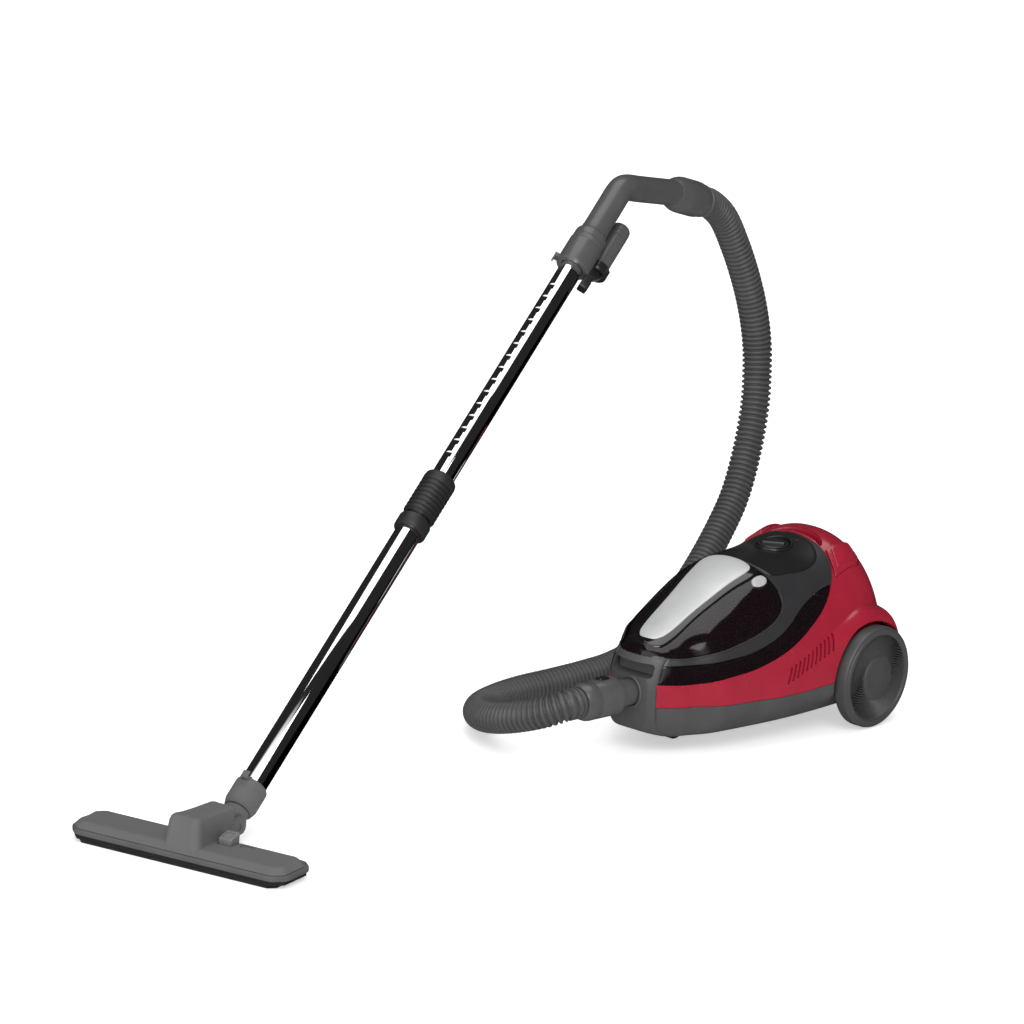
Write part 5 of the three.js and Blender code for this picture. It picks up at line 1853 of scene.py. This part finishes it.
    def pedal(self) -> None:
        """The pale rocking foot pedal with its recessed face."""
        form = Form().prism(arc_rect(32.5, 50.5, 0, 19, 2.2), 21.8, 36)
        for k, p in enumerate(form.points):
            if p[2] > 35:
                form.points[k] = (p[0], p[1], 31.0 + p[1] / 19 * 5.0)
        mesh = self.bench.rounded(form.mesh("pedal"), 1.0, 3, 50)
        slab = Form().block((35.5, 47.5), (3.6, 15.6), (0, 4), 1.2)
        tilt = Matrix.Translation((0, 0, 30.2)) @ Matrix.Rotation(math.atan(5.0 / 19), 4, "X")
        mesh = self.bench.carved(mesh, Form().joined(slab, tilt))
        self.bench.piece("rocker_pedal", "foot_pedal", mesh, nozzle_place(), [PEDAL], 34)

    def underside(self) -> None:
        """The two strips of bristles, as tufts in a row, and the small wheels."""
        base = nozzle_place().moved(HEAD_X, HEAD_Y, 0)
        for node, y0, y1 in (("brush_front", -29.0, -26.0), ("brush_rear", 16.0, 19.0)):
            form = Form().block((-109.6, 109.6), (y0, y1), (5.2, 9.0))
            middle = (y0 + y1) / 2
            for k in range(self.tufts):
                x = -108 + self.tuft_pitch * k
                turn = np.linspace(0, 2 * math.pi, 9)[:-1]
                high = [(x + 1.05 * math.cos(a), middle + 1.15 * math.sin(a), 5.4) for a in turn]
                low = [((p[0] - x) * 1.3 + x, (p[1] - middle) * 1.25 + middle, 0.8) for p in high]
                form.grid([low, high], around=True).lid(low)
            self.bench.piece(f"{node}_tufts", node, form.mesh("brush"), base, [BRISTLE], 34)
        profile = [
            (0, -5), (3.6, -5), (4.3, -4.4), (4.5, -3.6), (4.5, 3.6), (4.3, 4.4), (3.6, 5), (1.2, 5), (0.8, 4.4),
            (0, 4.4),
        ]
        for label, side in (("left", 1), ("right", -1)):
            place, mesh = base.moved(side * 70, 28, 4.5).turned(90, "Y"), Form().turned(profile, 40).mesh("wheel")
            self.bench.piece(f"sole_wheel_{label}", f"nozzle_wheel_{label}", mesh, place, [RUBBER], 34)

    def neck(self) -> None:
        """The swivelling elbow, and the collar that holds the lower tube."""
        handle = Handle(self.bench)
        path = evenly(flowing([NECK_PIVOT, (0, 69, 25.6), handle.wand_point(1), handle.wand_point(11.7)], 12), 30)
        form = Form().tube(path, lambda t, i: 15.0 - 0.6 * math.sin(math.pi * t), 48)
        profile = [(0, -18), (14.2, -18), (15, -17.2), (15, 17.2), (14.2, 18), (4, 18), (4, 23), (0, 23)]
        barrel = Form().turned(profile, 64)
        barrel.turned([(0, -23), (4, -23), (4, -18), (0, -18)], 32)
        form.joined(barrel, NECK_HINGE)
        spigot = Form().turned([(0, 8), (12.7, 8), (12.7, 30), (0, 30)], 48)
        form.joined(spigot, wand_from_nozzle())
        self.bench.piece("neck_joint", "neck_elbow", form.mesh("neck"), nozzle_place(), [NOZZLE], 34)
        profile = [
            (13, 12), (16.8, 12), (17.6, 12.8), (18.4, 15.4), (19.4, 18.2), (20, 21), (20, 37.4), (19.6, 38.2),
            (19.6, 39), (20, 39.8), (20, 45), (19.6, 47), (18.8, 48), (16.3, 48), (16.3, 31), (13, 31), (13, 12),
        ]
        mesh = Form().turned(profile, 80).mesh("collar")
        mesh = self.bench.carved(mesh, Form().block((-7.4, 7.4), (17.4, 30), (24.6, 42.4)))
        hook = Form().block((-4.5, 4.5), (-24.6, -19), (42, 46.5), 1.2)
        hook.block((-4.5, 4.5), (-25.6, -23.4), (42, 52), 0.8)
        mesh = self.bench.both([mesh, self.bench.rounded(hook.mesh("hook"), 0.4, 2)])
        self.bench.piece("neck_socket", "neck_collar", mesh, wand_place(), [NOZZLE], 34)
        latch = Form().prism(arc_rect(-7, 7, 19.8, 24, 1.4), 25, 42)
        mesh = self.bench.rounded(latch.mesh("latch"), 0.8, 2)
        self.bench.piece("neck_catch", "neck_latch", mesh, wand_place(), [DARK], 34)


# Studio ------------------------------------------------------
class Studio:
    """The camera, the pale floor and the soft lights."""

    LENS = 227.8
    STAND = (4.798541, -5.662404, 2.376271)
    RIGHT, UP = (0.753722, 0.655256, 0.050433), (-0.212229, 0.170055, 0.962310)
    AIM = (0, 0, 0.15)
    LAMPS = (
        ("key", (2.6, -2.2, 3.6), 2.6, 62.0), ("top", (-0.4, 0.6, 4.2), 3.0, 52.0),
        ("rear", (-2.8, 3.2, 2.4), 2.6, 20.0), ("side", (4.2, 1.4, 1.5), 1.6, 12.0),
    )
    CARD = (0.247, -0.861, 0.446)
    FLOOR_HALF = 30000

    @staticmethod
    def camera() -> None:
        """A long lens at a three-quarter view from the canister's nose end."""
        data = bpy.data.cameras.new("camera")
        data.lens = Studio.LENS
        camera = bpy.data.objects.new("camera", data)
        bpy.context.scene.collection.objects.link(camera)
        right, up = Vector(Studio.RIGHT), Vector(Studio.UP)
        turn = Matrix((right, up, right.cross(up))).transposed().to_4x4()
        camera.matrix_world = Matrix.Translation(Studio.STAND) @ turn
        bpy.context.scene.camera = camera

    @staticmethod
    def lights() -> None:
        """Large soft lamps."""
        for name, at, size, power in Studio.LAMPS:
            data = bpy.data.lights.new(name, "AREA")
            data.shape, data.size, data.energy = "SQUARE", size, power
            lamp = bpy.data.objects.new(name, data)
            bpy.context.scene.collection.objects.link(lamp)
            lamp.location = at
            lamp.visible_glossy = name in ("key", "top")
            lamp.rotation_euler = (Vector(Studio.AIM) - Vector(at)).to_track_quat("-Z", "Y").to_euler()

    @staticmethod
    def facing(tree: bpy.types.NodeTree, where: bpy.types.NodeSocket, towards: Point, edge: Point, dark: float,
               bright: float) -> bpy.types.NodeSocket:
        """A brightness that rises where the surround lies towards a fixed direction.

        Args:
            tree: the surround's node tree.
            where: the direction looked in.
            towards: the middle of the bright part.
            edge: the shares of that direction between which it rises.
            dark: the brightness away from it.
            bright: the brightness in it.

        Returns:
            The brightness.
        """
        dot, span = tree.nodes.new("ShaderNodeVectorMath"), tree.nodes.new("ShaderNodeMapRange")
        dot.operation = "DOT_PRODUCT"
        dot.inputs[1].default_value = towards
        tree.links.new(where, dot.inputs[0])
        tree.links.new(dot.outputs["Value"], span.inputs["Value"])
        for key, value in (("From Min", edge[0]), ("From Max", edge[1]), ("To Min", dark), ("To Max", bright)):
            span.inputs[key].default_value = value
        return span.outputs["Result"]

    @staticmethod
    def multiplied(tree: bpy.types.NodeTree, first: bpy.types.NodeSocket,
                   second: bpy.types.NodeSocket) -> bpy.types.NodeSocket:
        """The product of two values."""
        both = tree.nodes.new("ShaderNodeMath")
        both.operation = "MULTIPLY"
        tree.links.new(first, both.inputs[0])
        tree.links.new(second, both.inputs[1])
        return both.outputs[0]

    @staticmethod
    def surround() -> None:
        """A world seen white, dark to reflections but for one bright card and the floor's side."""
        scene = bpy.context.scene
        scene.view_settings.view_transform = "Standard"
        world = bpy.data.worlds.new("surround")
        world.use_nodes = True
        tree = world.node_tree
        white, soft = tree.nodes["Background"], tree.nodes.new("ShaderNodeBackground")
        white.inputs["Color"].default_value = (1, 1, 1, 1)
        where = tree.nodes.new("ShaderNodeTexCoord").outputs["Generated"]
        card = Studio.facing(tree, where, Studio.CARD, (0.66, 0.76), 0.02, 1.25)
        fill = tree.nodes.new("ShaderNodeMath")
        fill.operation = "MULTIPLY_ADD"
        fill.inputs[1].default_value, fill.inputs[2].default_value = 0.24, 0.02
        tree.links.new(tree.nodes.new("ShaderNodeLightPath").outputs["Is Diffuse Ray"], fill.inputs[0])
        tree.links.new(fill.outputs[0], card.node.inputs["To Min"])
        floor_side = Studio.facing(tree, where, (0, 0, 1), (-0.04, 0.06), 0.03, 1.0)
        tree.links.new(Studio.multiplied(tree, card, floor_side), soft.inputs["Color"])
        mix, seen = tree.nodes.new("ShaderNodeMixShader"), tree.nodes.new("ShaderNodeLightPath")
        tree.links.new(seen.outputs["Is Camera Ray"], mix.inputs["Fac"])
        tree.links.new(soft.outputs[0], mix.inputs[1])
        tree.links.new(white.outputs[0], mix.inputs[2])
        tree.links.new(mix.outputs[0], tree.nodes["World Output"].inputs["Surface"])
        scene.world = world

    @staticmethod
    def floor() -> None:
        """A wide pale floor, which isn't part of the object."""
        far = Studio.FLOOR_HALF
        mesh = Form().grid([[(x, -far, -GAP), (x, far, -GAP)] for x in (-far, far)]).mesh("floor")
        mesh.transform(Matrix.Scale(MM, 4))
        material = FLOOR.build()
        glow = material.node_tree.nodes["Principled BSDF"].inputs
        glow["Emission Color"].default_value = (1, 1, 1, 1)
        glow["Emission Strength"].default_value = 0.5
        mesh.materials.append(material)
        floor = bpy.data.objects.new("floor", mesh)
        floor.visible_glossy = False
        bpy.context.scene.collection.objects.link(floor)


def main() -> None:
    """Makes the camera, the hose and then every other sub-assembly in order."""
    logging.basicConfig(level=logging.INFO, format="%(message)s")
    bench, place = Bench(), canister_place()
    Studio.camera()
    Hose(bench, place).build()
    shells = CanisterShells(bench, place)
    shells.build()
    DustCup(bench, place, shells).build()
    Pedals(bench, place).build()
    ControlPanel(bench, place).build()
    Wheels(bench, place).build()
    TailFittings(bench, place).build()
    HoseEnds(bench).build()
    Handle(bench).build()
    Wand(bench).build()
    FloorNozzle(bench).build()
    bench.dress_the_rest()
    Studio.lights()
    Studio.surround()
    Studio.floor()


if __name__ == "__main__":
    main()
